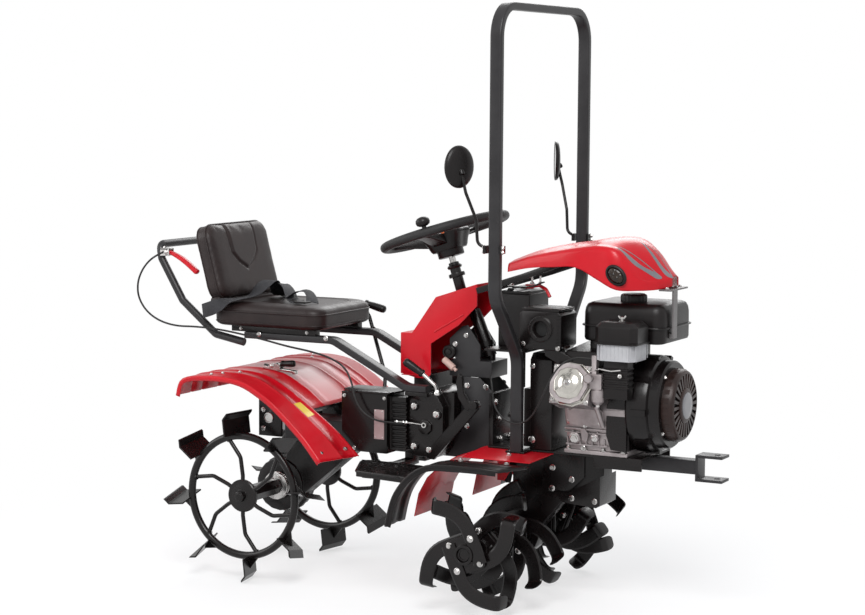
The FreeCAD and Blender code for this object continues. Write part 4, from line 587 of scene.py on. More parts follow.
def wheel(word, side):
    """An open driving wheel: round ring, kneed spokes, plate lugs bent over at the tip, a bolted hub."""
    body = f"wheel_{word}"
    middle = moved(0, side * WHEEL_OUT, WHEEL_HIGH) @ turned(90, "X")
    outward = (0, 0, -side)
    made(f"wheel_ring_{word}", Form().add(ring(RING_RADIUS, 12, 0.92), middle), BLACK, body,
         stands_for=f"rear_wheel_{word}")
    spokes = Form()
    line = bent([(0, 42, 0), (0, 62, 0), (-8, 118, 0), (-50, 172, 0)], 26, 5)
    foot = [line[-1] - Vector((-5, 7, 0)), line[-1] + Vector((-3, 4, 0))]
    for index in range(6):
        place = middle @ turned(60 * index, "Z")
        spokes.add(along(line, circle(6.3, 12)), place).add(along(foot, circle(9, 12)), place)
    made(f"wheel_spokes_{word}", spokes, BLACK, body)
    tip = math.sqrt(WHEEL_HIGH ** 2 - (LUG_DROP + LUG_SKEW) ** 2)
    first = 180 + math.degrees(math.atan((LUG_DROP + LUG_SKEW) / tip))
    outline = [(0, RING_RADIUS + 2), (LUG_THICK, RING_RADIUS + 2),
               (LUG_THICK, tip - LUG_DROP - LUG_THICK * 0.4), (LUG_DROP, tip - LUG_THICK * 1.4),
               (LUG_DROP, tip), (0, tip - LUG_DROP)]
    plate = stack([([(u + side * LUG_SKEW * end, v) for u, v in outline], LUG_HALF * end) for end in (-1, 1)])
    web = slab([(0, RING_RADIUS + 4), (0, tip - LUG_DROP - 16), (-10, RING_RADIUS + 30),
                (-46, RING_RADIUS - 6)], "Z", -3, 3)
    lugs = Form()
    for index in range(8):
        place = middle @ turned(first + 45 * index, "Z")
        lugs.add(plate, place).add(web, place)
    made(f"wheel_lugs_{word}", lugs, BLACK, body, edge=1.3)
    disc = lathe([(0, -7), (47, -7), (50, -4), (50, 4), (47, 7), (34, 7.6), (30, 9), (0, 9)])
    hub = Form().add(disc, middle).add(lathe([(26, 0), (26, side * 182), (24, side * 182)], 6), middle)
    made(f"wheel_hub_{word}", hub, BLACK, body, smooth=40)
    nut = Form().add(bolt(30, 16, 21), middle @ facing((0, 0, -side * 8.5), outward))
    made(f"wheel_nut_{word}", nut, BLACK, body, edge=0.8)
    pin = Form().add(bolt(15, 9, 12), facing((0, side * 92, WHEEL_HIGH + 27), UP))
    pin.add(bolt(15, 9, 12), facing((-27, side * 112, WHEEL_HIGH), AFT))
    made(f"wheel_pin_{word}", pin, STEEL, body)


def blade_row(point, across, normal, half=BLADE_HALF, thick=BLADE_THICK):
    """The section of a blade: a flat bar with its edges ground to a bevel."""
    outline = [(half, thick / 4), (half - 5, thick), (5 - half, thick), (-half, thick / 4)]
    return section(point, across, normal, outline + [(-a, -b) for a, b in outline])


def blade():
    """A curved blade in the XZ plane whose tip folds round to +Y."""
    knees = [Vector(knee) for knee in ((38, 0, 52), (38, 0, 104), (8, 0, 130), (-34, 0, 152))]
    spine = [Vector((39, 0, -40)), Vector((39, 0, 10)), *interpolate_bezier(*knees, 10)]
    sideways = Vector((0, 1, 0))
    rows = []
    for step, point in enumerate(spine):
        ahead = heading(spine, step)
        across = Vector((ahead.z, 0, -ahead.x))
        rows.append(blade_row(point, across, sideways))
    for step in range(1, 7):
        angle = math.radians(13 * step)
        point = spine[-1] + (ahead * math.sin(angle) + sideways * (1 - math.cos(angle))) * 18
        normal = sideways * math.cos(angle) - ahead * math.sin(angle)
        rows.append(blade_row(point, across, normal))
    onward = ahead * math.cos(angle) + sideways * math.sin(angle)
    for reach, share in ((16, 0.94), (26, 0.8), (31, 0.62)):
        rows.append(blade_row(point + onward * reach, across, normal, BLADE_HALF * share, BLADE_THICK * 0.7))
    return skin(rows)


def tiller_bank(side, index, banks, plates, bolts):
    """One flange with its four blades, the bolts that hold them and its hub."""
    level = INNER_BANK + (OUTER_BANK - INNER_BANK) * index / 3
    flip = 180 if (index == 3) == (side > 0) else 0
    place = moved(TILLER_X, side * level, TILLER_Z) @ turned(22.5 * index, "Y") @ turned(flip, "Z")
    for quarter in range(4):
        offset = -7 if quarter % 2 else 7
        corner = place @ turned(90 * quarter, "Y")
        banks.add(blade(), corner @ moved(0, offset, 0))
        for face in (-1, 1):
            proud = 10 if offset * face > 0 else 4
            bolts.add(bolt(13, 8, 10), corner @ facing((37, face * proud, 37), (0, face, 0)))
    plates.add(slab(rounded_box(104, 104, 12, 3), "Y", -4, 4), place)
    hub = [(26, 15), (29, 14), (29, 5), (34, 4), (34, -4), (29, -5), (29, -14), (26, -15), (21, -15),
           (20, -9), (20, 9), (21, 15)]
    plates.add(lathe(hub, 36, joined=True), place @ turned(90, "X"))
    plates.add(lathe([(20.4, -8), (20.4, 8)], 28), place @ turned(90, "X"))


for word, side in SIDES:
    wheel(word, side)
for word, side in SIDES:
    banks, plates, bolts = Form(), Form(), Form()
    for index in range(4):
        tiller_bank(side, index, banks, plates, bolts)
    made(f"tiller_blades_{word}", banks, BLACK, "tiller", smooth=24, stands_for=f"tines_{word}")
    made(f"tiller_flanges_{word}", plates, BLACK, "tiller", edge=1)
    made(f"tiller_bolts_{word}", bolts, STEEL, "tiller")

# ------------------------------------------------------------------ hood

# Station, half width, and the heights of the crown, the shoulder and the edge.
HOOD = [
    (808, 96, 1004, 996, 968), (880, 108, 1031, 1020, 983), (960, 122, 1050, 1038, 990),
    (1040, 136, 1063, 1052, 993), (1110, 148, 1075, 1060, 963), (1170, 152, 1074, 1050, 937),
    (1225, 113, 1044, 997, 934), (1265, 66, 997, 974, 936), (1290, 24, 972, 968, 943),
]
SINK = 0.8


def hood():
    """A thin pressed shell, crowned and shouldered, drawn in to the nose."""
    rows = []
    for station, half, crown, shoulder, edge in eased(HOOD, 6):
        rise = crown - shoulder
        arch = [(-1, edge), (-0.985, edge * 0.55 + shoulder * 0.45), (-0.93, shoulder - rise * 0.55),
                (-0.75, shoulder), (-0.4, crown - rise * 0.25), (0, crown)]
        arch += [(-share, height) for share, height in arch[-2::-1]]
        rows.append([(station, share * (half - SINK), height - SINK) for share, height in eased(arch, 5)])
    corners, faces = skin(rows, capped=False)
    wide = len(rows[0])
    open_faces = [face for place, face in enumerate(faces) if place % wide != wide - 1]
    thing = made("hood_shell", (corners, open_faces), RED, smooth=60)
    walled(thing, SHEET, -1)
    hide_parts("hood")
    return thing


hood_shell = hood()

# ------------------------------------------------------------------ bars, rails and mirrors

POST_X = 868.5
half_bar = [(150, 456), (150, 728), (303.7, 910), (303.7, 1725.7)]
bar = [(POST_X, -y, z) for y, z in half_bar] + [(POST_X, y, z) for y, z in half_bar[::-1]]
made("rollover_tube", along(bent(bar, 88, 10), rounded_box(22.6, 35.4, 5), FORE), GREY, smooth=40,
     stands_for="rollover_bar")
rails = Form()
for side in (-1, 1):
    line = bent([(x, side * 130, z) for x, z in ((-60, 738), (250, 738), (500, 612), (570, 612))], 60, 8)
    rails.add(along(line, rounded_box(40, 20, 3, 3)))
made("seat_rail_bars", rails, GREY, smooth=40, stands_for="seat_rails")
loop = [(-60, 716), (-163, 735), (-286, 834), (-364, 962), (-371, 1006)]
loop = [(x, -150, z) for x, z in loop] + [(x, 150, z) for x, z in loop[::-1]]
made("seat_loop_tube", tube(loop, 12, 20, 18), GREY, smooth=50, stands_for="seat_loop")


def mirror(word, side):
    """A round-backed oval mirror on a bent stem, clamped to the rollover bar."""
    stem = [(842, 306, 1050), (816, 310, 1062), (812, 312, 1130), (788, 330, 1205), (772, 330, 1266)]
    form = Form().add(tube([(x, side * y, z) for x, y, z in stem], 4.5, 20, 12, FORE))
    place = moved(768, side * 330, 1277) @ turned(side * 27.5, "Z")
    back = ((0.9, -4), (0.97, -6), (1.0, -5), (1.0, -1), (0.96, 3), (0.86, 6.5), (0.66, 9.2), (0.4, 10.6),
            (0.12, 11))
    form.add(stack([(oval(49 * reach, 60 * reach), level) for reach, level in back], "X"), place)
    form.add(lathe([(8, 0), (9, 8), (7, 14)], 16), place @ facing((6, 0, -10), (0.6, 0, -1)))
    for low, high in ((838, 846), (889, 894)):
        form.add(block((low, side * 306 - 15, 1036), (high, side * 306 + 15, 1058)))
    made(f"mirror_head_{word}", form, PLASTIC, slot="black", smooth=50, stands_for=f"mirror_{word}")
    made(f"mirror_glass_{word}", Form().add(slab(oval(44, 54), "X", -4.6, -3.6), place), MIRROR, smooth=60)
    bolts = Form()
    for level in (1041, 1053):
        for x, look in ((894, FORE), (838, AFT)):
            bolts.add(bolt(9, 5, 7), facing((x, side * 312, level), look))
    made(f"mirror_bolts_{word}", bolts, STEEL)


for word, side in SIDES:
    mirror(word, side)

# ------------------------------------------------------------------ steering

STEER = moved(554, 0, 1069) @ turned(-18, "Y")
STEER_RADIUS = 186


def steering():
    """A padded wheel on three deep spokes with a spinner knob."""
    made("steering_ring", Form().add(ring(STEER_RADIUS, 14), STEER), RUBBER, "steering", "black_plastic",
         stands_for="steering_wheel")
    square = [(68 * math.cos(a) * (1 - 0.1 * math.cos(4 * a)), 66 * math.sin(a) * (1 - 0.1 * math.cos(4 * a)))
              for a in (2 * math.pi * i / 48 for i in range(48))]
    shoulders = ((0.5, -57), (0.72, -56), (0.78, -50), (0.86, -34), (1.0, -16), (1.03, -6), (0.96, 0),
                 (0.7, 3.5), (0.2, 4))
    pad = Form().add(stack([([(x * reach, y * reach) for x, y in square], level)
                            for reach, level in shoulders]), STEER)
    pad.add(lathe([(38, -76), (40, -74), (40, -58), (42, -54)], 32), STEER)
    made("steering_pad", pad, PLASTIC, "steering", smooth=50)
    arm = stack([([(a, level + b) for a, b in rounded_box(wide, tall, 5, 3)], reach)
                 for reach, wide, tall, level in ((40, 52, 34, -24), (80, 46, 26, -17), (130, 36, 16, -8),
                                                  (178, 30, 12, -2))], "X")
    spokes = Form()
    for angle in (90, 180, 270):
        spokes.add(arm, STEER @ turned(angle, "Z"))
    made("steering_spokes", spokes, PLASTIC, "steering", smooth=50)
    ball = lathe([(6, 8), (7, 18), (12, 19), (19, 23), (21.5, 30), (20, 38), (14, 44), (5, 46.4),
                  (0.5, 46.5)], 32)
    foot = STEER @ turned(280, "Z") @ moved(STEER_RADIUS, 0, 0) @ turned(-280, "Z")
    made("steering_knob", Form().add(ball, foot), PLASTIC, "steering", smooth=60)
    mark = Form().add(block((42.5, -14, -8), (68.5, 14, -3)), STEER @ turned(-62, "Z"))
    made("steering_mark", mark, AMBER, "steering", edge=1)
    shaft = Form()
    for offset in (-8, 8):
        shaft.add(along([Vector((0, offset, -74)), Vector((0, offset * 0.6, -128))], rounded_box(5, 9, 2, 3),
                        FORE), STEER)
    shaft.add(lathe([(10, -182), (10, -78)], 24), STEER)
    made("steering_shaft_fork", shaft, STEEL, "steering", smooth=50, stands_for="steering_shaft")


steering()
neck = Form().add(lathe([
    (15, -182), (16, -180), (16, -140), (24, -139), (25, -134), (24, -128), (16, -127), (16, -114),
    (20, -113), (23, -108), (20, -103), (16, -102), (15.5, -95), (10.4, -94)], 24), STEER)
lean = facing((710, 0, 706), (-0.42, 0, 1))
neck.add(lathe([(19, 0), (19, 142), (17, 146)], 28), lean)
neck.add(lathe([(24, 30), (24, 44), (19, 45)], 28), lean)
neck.add(lathe([(11, 690), (11, 716)], 16), moved(714, 0, 0))
made("steering_neck", neck, BLACK, smooth=40, stands_for="steering_column")

# ------------------------------------------------------------------ seat and belt

PAD_HALF = 180
PLUMP_MOMENTS = 20


def soft_solid(name, outline, levels, place):
    """A closed form of one rounded outline, drawn in by so much at each level, in small even faces."""
    layers = [([(a * (1 - inset / PAD_HALF), b * (1 - inset / PAD_HALF)) for a, b in outline], level)
              for inset, level in levels]
    thing = linked(name, mesh_of(name, Form().add(stack(layers), place)))
    cells = thing.modifiers.new("cells", "REMESH")
    cells.mode = "VOXEL"
    cells.voxel_size = 0.006
    settle(thing)
    return thing


def plump(thing, cap):
    """Blow a form up by cloth pressure, no point further than the cap, and keep the result."""
    start = [vertex.co.copy() for vertex in thing.data.vertices]
    cloth = thing.modifiers.new("plump", "CLOTH")
    cloth.settings.use_pressure = True
    cloth.settings.uniform_pressure_force = 4
    cloth.settings.effector_weights.gravity = 0
    for moment in range(1, PLUMP_MOMENTS + 1):
        scene.frame_set(moment)
    settle(thing)
    scene.frame_set(1)
    for vertex, origin in zip(thing.data.vertices, start):
        shift = vertex.co - origin
        if shift.length > cap:
            vertex.co = origin + shift.normalized() * cap
    fine = thing.modifiers.new("fine", "SUBSURF")
    fine.levels = 1
    fine.render_levels = 1
    settle(thing)


def inside_by(point, outline):
    """How far a flat point lies inside an outline, less than nought outside."""
    nearest = 1e9
    within = False
    for start, end in zip(outline, outline[1:] + outline[:1]):
        run = Vector(end) - Vector(start)
        share = max(0, min(1, (point - Vector(start)).dot(run) / run.length_squared))
        nearest = min(nearest, (Vector(start) + run * share - point).length)
        if (start[1] > point.y) != (end[1] > point.y):
            if point.x < start[0] + (point.y - start[1]) / (end[1] - start[1]) * (end[0] - start[0]):
                within = not within
    return nearest if within else -nearest


def press_panel(thing, place, outline, top, lift, groove):
    """Raise a sewn panel on the top of a cushion, with a groove along its edge."""
    home = Matrix.Translation(at(0, 0, 0)) @ Matrix.Scale(0.001, 4) @ place
    away = home.inverted()
    up = (home.to_3x3() @ Vector(UP)).normalized()
    for vertex in thing.data.vertices:
        local = away @ vertex.co
        if local.z < top - 16:
            continue
        depth = inside_by(local.xy, outline)
        rise = lift * max(0, min(1, depth / 9)) - groove * math.exp(-(depth / 4) ** 2)
        vertex.co += up * rise / 1000


def piping(name, thing, outline, level, place, radius=2.6):
    """A welt sewn round a cushion, lying on its skin."""
    graph = bpy.context.evaluated_depsgraph_get()
    line = []
    for a, b in outline:
        near = at(*(place @ Vector((a, b, level))))
        _, where, normal, _ = thing.closest_point_on_mesh(near, depsgraph=graph)
        line.append((where + normal * radius * 0.0003 - at(0, 0, 0)) * 1000)
    rows = []
    for before, point, after in zip(line[-1:] + line, line, line[1:] + line[:1]):
        way = (after - before).normalized()
        side = way.cross(place.to_3x3() @ Vector(UP)).normalized()
        rows.append(section(point, side, side.cross(way), circle(radius, 8)))
    made(name, skin(rows, joined=True), VINYL, smooth=80)


def upholster(thing, word):
    """Give a cushion its vinyl and put it in the place of its plain solid."""
    thing.data.shade_smooth()
    thing.data.materials.clear()
    thing.data.materials.append(VINYL)
    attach(thing, "chassis")
    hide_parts(word)


def cushion(name, word, place, size, levels, panel, press, welts):
    """A blown-up pad with its sewn panel and the welts round its sides."""
    wide, tall, corner = size
    pad = soft_solid(name, rounded_box(wide, tall, corner, 10), levels, place)
    plump(pad, 0.004)
    press_panel(pad, place, panel, *press)
    upholster(pad, word)
    for welt, level, radius in welts:
        piping(welt, pad, rounded_box(wide + 4, tall + 4, corner + 2, 12), level, place, radius)


cushion("seat_pad", "seat_cushion", moved(24, 0, 766), (398, 350, 52),
        ((7, 2), (1, 8), (0, 30), (0, 50), (4, 60), (14, 66), (60, 69)),
        [(-190, -112), (120, -116), (148, -84), (156, 0), (148, 84), (120, 116), (-190, 112)],
        (66, -3.5, 2.6), (("seat_welt", 46, 2.6), ("seat_welt_low", 12, 2)))
lean = math.degrees(math.atan2(66, 240))
cushion("back_pad", "seat_backrest",
        moved(-147, 0, 837) @ turned(-lean, "Y") @ moved(0, 0, 122) @ turned(90, "Y"), (238, 350, 44),
        ((8, -28), (1, -22), (0, 0), (0, 14), (3, 22), (12, 27), (60, 29)),
        [(-122, -78), (-20, -70), (8, -44), (34, 0), (8, 44), (-20, 70), (-122, 78)], (27, 3.5, 3),
        (("back_welt", 13, 2.6), ("back_welt_rear", -20, 2)))
roll = lathe([(10, -158), (20, -154), (25, -140), (26, -60), (26, 60), (25, 140), (20, 154), (10, 158)], 40)
made("seat_joint", Form().add(roll, facing((-160, 0, 836), (0, 1, 0))), VINYL, smooth=60)


def strap(path, wide):
    """A band of webbing along places that each carry the way its face looks."""
    runs, looks = (eased(line, 6) for line in zip(*path))
    rows = []
    for step, (point, look) in enumerate(zip(runs, looks)):
        way = heading(runs, step)
        across = way.cross(Vector(look)).normalized()
        rows.append(section(Vector(point), across, across.cross(way), rounded_box(wide, 2.6, 1.2, 2)))
    return skin(rows)


def belt():
    """The lap belt, one end round the seat's lower corner, folded over itself across the cushion."""
    side = (0, -1, 0.05)
    webbing = Form().add(strap([
        ((-190, -183, 808), (-0.5, -0.9, 0)), ((-176, -189, 812), side), ((-152, -191, 820), side),
        ((-124, -189, 832), (0, -0.9, 0.4)), ((-106, -176, 844), (0, -0.4, 0.9)), ((-86, -140, 848), UP),
        ((-62, -100, 856), UP), ((-46, -66, 884), (0.2, -0.6, 1)), ((-40, -26, 898), UP),
        ((-50, 14, 880), (0, 0.5, 1)), ((-60, 52, 848), (0, 0.3, 1)), ((-62, 84, 843), UP),
        ((-62, 118, 841), UP)], 44))
    webbing.add(strap([
        ((-78, 70, 845), (0.3, 0, 1)), ((-50, 34, 872), (-0.4, 0, 1)), ((-14, 2, 886), (0, 0.2, 1)),
        ((22, -26, 876), (0.5, 0, 1)), ((52, -52, 850), (0.3, 0, 1)), ((84, -84, 844), UP),
        ((112, -104, 842), UP)], 44))
    webbing.add(strap([
        ((34, -74, 846), (-0.3, 0, 1)), ((60, -46, 866), (-0.4, 0, 1)), ((90, -30, 872), (0.3, 0, 1)),
        ((116, -42, 856), (0.5, 0, 1)), ((132, -64, 842), (0.3, 0, 1))], 40))
    made("lap_belt", webbing, WEBBING, smooth=60, stands_for="seat_belt")
    buckle = Form().add(block((100, -124, 842), (142, -86, 848))).add(block((70, -98, 845), (104, -66, 848)))
    made("belt_buckle", buckle, PLASTIC, edge=1.6)


belt()

# ------------------------------------------------------------------ fenders and guard

CREST = [(-194, 564), (-168, 618), (-60, 632), (40, 622), (117, 586), (162, 556), (214, 512), (265, 464),
         (318, 402)]
WING = [(575, 250), (584, 291), (596, 330), (611, 358), (631, 384), (655, 407), (685, 426), (720, 437),
        (775, 440), (860, 441), (972, 438)]


def bowed(name, line, across, keep, material, word, slant=lambda x, y: 0):
    """Sheet bent along a line, pressed across it to a profile of place and lift, in millimetres.

    keep tells which faces stay, and slant shifts a corner along X.
    """
    corners = []
    for step, (x, z) in enumerate(line):
        run = heading(line, step)
        out = Vector((-run.y, 0, run.x))
        corners += [Vector((x + slant(x, y), y, z)) + out * (lift - 0.3) for y, lift in across]
    wide = len(across)
    faces = []
    for step, (start, end) in enumerate(zip(line, line[1:])):
        for place, (left, right) in enumerate(zip(across, across[1:])):
            if keep((start[0] + end[0]) / 2, (left[0] + right[0]) / 2):
                first = step * wide + place
                faces.append([first, first + 1, first + wide + 1, first + wide])
    thing = made(name, (corners, faces), material, smooth=50)
    looks_up = thing.data.polygons[len(faces) // 2].normal.z > 0
    walled(thing, SHEET, -1 if looks_up else 1)
    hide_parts(word)


def ridge(y, wide, lift):
    """The places and lifts of one pressed ridge, outer side first."""
    steps = ((1, 0), (0.6, 0.8), (0.3, 1), (-0.3, 1), (-0.6, 0.8), (-1, 0))
    return [(y + wide * share, lift * tall) for share, tall in steps]


half_across = [(330, -16), (330, -4), (328.5, -1), (325, 0), *ridge(246, 7, 3), *ridge(186, 7, 3), (150, 0),
               *ridge(96, 7, 2), (40, 0)]
bowed("rear_fender_sheet", eased(CREST, 5), [(-y, lift) for y, lift in half_across] + half_across[::-1],
      lambda x, y: x < 190 or abs(y) > 178, RED, "rear_fender",
      lambda x, y: max(0, x - 150) * (330 - max(178, abs(y))) / 560 if abs(y) > 177 else 0)
wing_across = [(400, -15), (400, -2), (398.5, 2), (395, 3.4), (391, 2), (389, 0), (346, 0), (340, 3),
               (322, 3), (316, 0), (286.5, 0)]
for word, side in SIDES:
    bowed(f"front_fender_sheet_{word}", eased(WING, 4), [(side * y, lift) for y, lift in wing_across],
          lambda x, y: abs(y) < 400 - max(0, x - 930) * 2.4 or x < 930, PLASTIC, f"front_fender_{word}")
    rim = [Vector((x, side * 398, z - 1)) for x, z in eased(WING[:-1], 4)]
    rim += [Vector((926, side * 397, 438)), Vector((968, side * 300, 437))]
    made(f"front_fender_rim_{word}", along(rim, circle(5, 10)), PLASTIC, smooth=60)
    press = Form()
    for low, high in ((0, 1), (1, 0)):
        press.add(along([Vector((618 + 26 * low, side * 110, 326 + 50 * low)),
                         Vector((618 + 26 * high, side * 220, 326 + 50 * high))], circle(4, 8)))
    made(f"guard_press_{word}", press, RED, smooth=60)

# ------------------------------------------------------------------ engine

CRANK = 602
HEAD = moved(1052, 0, CRANK) @ turned(-19, "X")
CAP = [(-58, 8), (-40, 46), (-12, 58), (26, 54), (54, 30)]
CAP += [(-x, -z) for x, z in CAP]


def bolted(form, size, places):
    """Take bolts of one size into a form, one at each of the places."""
    for place in places:
        form.add(bolt(*size), place)
    return form


def valve_cover():
    """A bright stepped cover with a round boss and its bolts, and the bolts of the engine's foot."""
    steps = ((1.1, 193), (1.1, 196.5), (1.03, 197.5), (1.01, 206), (0.96, 210), (0.82, 211), (0.79, 215.5),
             (0.74, 217.5), (0.5, 218))
    cover = stack([([(x * share, z * share) for x, z in CAP], -level) for share, level in steps], "Y")
    made("valve_cover", Form().add(cover, HEAD), PRESSED, edge=1.6, steps=3)
    boss = lathe([(31, 0), (31, 2.5), (27, 5), (17, 6), (14, 8.5), (8, 9)], 40)
    made("valve_boss", Form().add(boss, HEAD @ facing((0, -216, 0), OUT)), PRESSED, smooth=35)
    bolts = Form().add(bolt(12, 7, 10), HEAD @ facing((0, -224, 0), OUT))
    corners = ((-52, 48), (52, 48), (-52, -48), (52, -48))
    bolted(bolts, (10, 7, 8), [HEAD @ facing((x, -194, z), OUT) for x, z in corners]
           + [facing((1060, -112, 474), OUT)])
    bolted(bolts, (12, 8, 10), [facing((x, -104, 469), UP) for x in (1012, 1062, 1120, 1180)])
    made("engine_bolts", bolts, STEEL)


def crankcase():
    """Ribs, side covers, drain bosses and a black shield on the cast case."""
    near = Matrix(((1, 0, 0, 0), (0, -0.2298, -0.9732, -106), (0, 0.9732, -0.2298, 486), (0, 0, 0, 1)))
    far = Matrix(((-1, 0, 0, 1098), (0, 0, 1, 111), (0, 1, 0, 486), (0, 0, 0, 1)))
    cover = [(1012, 66), (1020, 54), (1070, 52), (1118, 60), (1130, 76), (1128, 104), (1112, 118),
             (1040, 120), (1016, 108)]
    inner = [(1018 + (x - 1010) * 0.86, 64 + (u - 60) * 0.8) for x, u in cover]
    ribs = Form().add(slab(cover, "Z", -3, 5), near).add(slab(inner, "Z", -3, 9), near)
    for u, tall in ((44, 6), (34, 4), (-4, 5)):
        ribs.add(block((1006, u, -3), (1136, u + tall, 7)), near)
    for index in range(7):
        x = 1010 + index * 19
        ribs.add(block((x, -6, -3), (x + 4.5, 20 + 22 * (index % 2), 6)), near)
    ribs.add(lathe([(18, -4), (18, 9), (15, 12), (8, 12)], 28), near @ moved(1036, 20, 0))
    ribs.add(lathe([(13, -4), (13, 12), (9, 15)], 28), near @ moved(1100, 24, 0))
    ribs.add(slab([(1060, 14), (1074, 10), (1082, 34), (1070, 52), (1058, 50)], "Z", -3, 12), near)
    filler = (-0.2, -0.35, 1)
    ribs.add(lathe([(7, 0), (7, 60), (9, 62), (9, 70), (6, 72)], 20), facing((1128, -128, 540), filler))
    side_cover = [(-84, 10), (74, 10), (84, 40), (84, 130), (60, 160), (-60, 160), (-84, 130)]
    ribs.add(slab(side_cover, "Z", -3, 3), far)
    ribs.add(lathe([(62, 0), (62, 6), (58, 8), (50, 8), (46, 5), (24, 5), (20, 9), (12, 10)], 56),
             far @ moved(0, 96, 2))
    for index in range(9):
        x = index * 21 - 88
        ribs.add(block((x, -8, -3), (x + 5, 26 + 6 * (index % 2), 4)), far)
    ribs.add(block((-94, 172, -3), (94, 178, 5)), far)
    ribs.add(lathe([(11, 0), (11, 16), (8, 18)], 24), far @ moved(66, 14, 0))
    made("crankcase_ribs", ribs, CAST, edge=1.6)
    shield = Form()
    for outline, axis, start, stop in (
            (((1136, 520), (1150, 478), (1198, 474), (1198, 700), (1160, 700), (1150, 640), (1136, 600)),
             "Y", -127, -96),
            (((-112, 474), (112, 474), (118, 640), (96, 712), (-96, 712), (-118, 640)), "X", 1188, 1200),
            (((-150, 702), (-126, 754), (60, 768), (92, 700), (92, 640), (-100, 640)), "X", 1010, 1120)):
        shield.add(slab(outline, axis, start, stop))
    shield.add(block((866, -100, 462), (893, 100, 632)))
    shield.add(block((862, -84, 480), (867, 84, 500))).add(block((862, -84, 590), (867, 84, 610)))
    made("engine_shield", shield, BLACK, edge=3)
    plug = Form().add(bolt(19, 9, 13), near @ moved(1036, 20, 12))
    plug.add(bolt(12, 7, 9), near @ moved(1100, 24, 15))
    plug.add(bolt(17, 9, 12), far @ moved(66, 14, 18))
    bolted(plug, (9, 5, 7), [near @ moved(x, u, 5) for x, u in (
        (1022, 66), (1118, 70), (1116, 106), (1030, 110), (1070, 58))])
    bolted(plug, (10, 5, 8), [far @ moved(x, u, 3) for x, u in (
        (-74, 24), (64, 24), (-74, 124), (74, 124), (0, 152))])
    made("crankcase_bolts", plug, STEEL)
    cap = lathe([(12, 0), (13, 3), (13, 12), (10, 15), (4, 16)], 10)
    caps = Form().add(cap, facing((1114, -153, 610), filler)).add(cap, far @ moved(-66, 40, 3))
    made("oil_caps", caps, PLASTIC, smooth=30)


def starter():
    """The blower housing and the slotted hand-starter cover, turned about the crank."""
    place = facing((1196, 0, CRANK), FORE)
    form = Form().add(lathe([(136, 0), (140, 6), (140, 50), (136, 62), (127, 66), (126, 90), (121, 96),
                             (60, 96)], 72), place)
    for index in range(9):
        form.add(block((-9, 132, 20), (9, 144, 64)), place @ turned(40 * index + 14, "Z"))
    made("blower_housing", form, BLACK, slot="black_plastic", smooth=32, stands_for="fan_shroud")
    place = facing((1292, 0, CRANK), FORE)
    screen = lathe([(100, 0), (100, 20), (94, 27), (40, 27)], 64)
    made("starter_screen", Form().add(screen, place), RUBBER, slot="black_plastic", smooth=32)
    band = [(104, 0), (104, 22), (99, 31), (92, 35), (90, 35), (90, 26), (99, 20), (99, 0)]
    cover = Form().add(lathe(band, 64, joined=True), place)
    for index in range(26):
        turn = place @ turned(360 * index / 26, "Z")
        cover.add(slab([(46, -3.6), (92, -5.4), (92, 5.4), (46, 3.6)], "Z", 25, 35), turn)
        cover.add(block((98, -7, 4), (104.6, 7, 22)), turn)
    cover.add(lathe([(50, 24), (50, 36), (46, 39), (42, 39.5), (30, 39.5)], 56), place)
    made("starter_cover", cover, SCREEN, edge=0.6, stands_for="recoil_starter")
    centre = lathe([(38, 38), (38, 40.6), (36, 41.6), (20, 41.8), (4, 41.9)])
    made("starter_centre", Form().add(centre, place), DECAL, smooth=40)
    bolts = bolted(Form(), (9, 5, 7), [place @ turned(90 * index + 40, "Z") @ moved(112, 0, -1)
                                       for index in range(4)])
    made("starter_bolts", bolts, STEEL)


def tank():
    """A welded tank with a rolled seam and a fluted cap."""
    levels = ((12, 780), (3, 783), (0, 790), (0, 823), (-6, 824), (-7, 826), (-6, 828), (0, 829), (0.5, 862),
              (3, 876), (9, 886), (20, 891), (34, 892))
    shell = stack([(rounded_box(250 - 2 * inset, 232 - 2 * inset, max(34 - inset, 8), 8), level)
                   for inset, level in levels])
    made("tank_shell", Form().add(shell, moved(1165, 24, 0)), PLASTIC, smooth=42, stands_for="fuel_tank")
    layers = []
    for radius, level in ((34, 890), (38, 893), (38.5, 906), (37, 912), (31, 915.5), (12, 916)):
        flute = 1.2 / radius if 892 < level < 913 else 0
        layers.append(([(a * (1 - flute * (i % 4 < 2)), b * (1 - flute * (i % 4 < 2)))
                        for i, (a, b) in enumerate(circle(radius, 96))], level))
    made("tank_cap", Form().add(stack(layers), moved(1164, 0, -1.2)), PLASTIC, smooth=30)


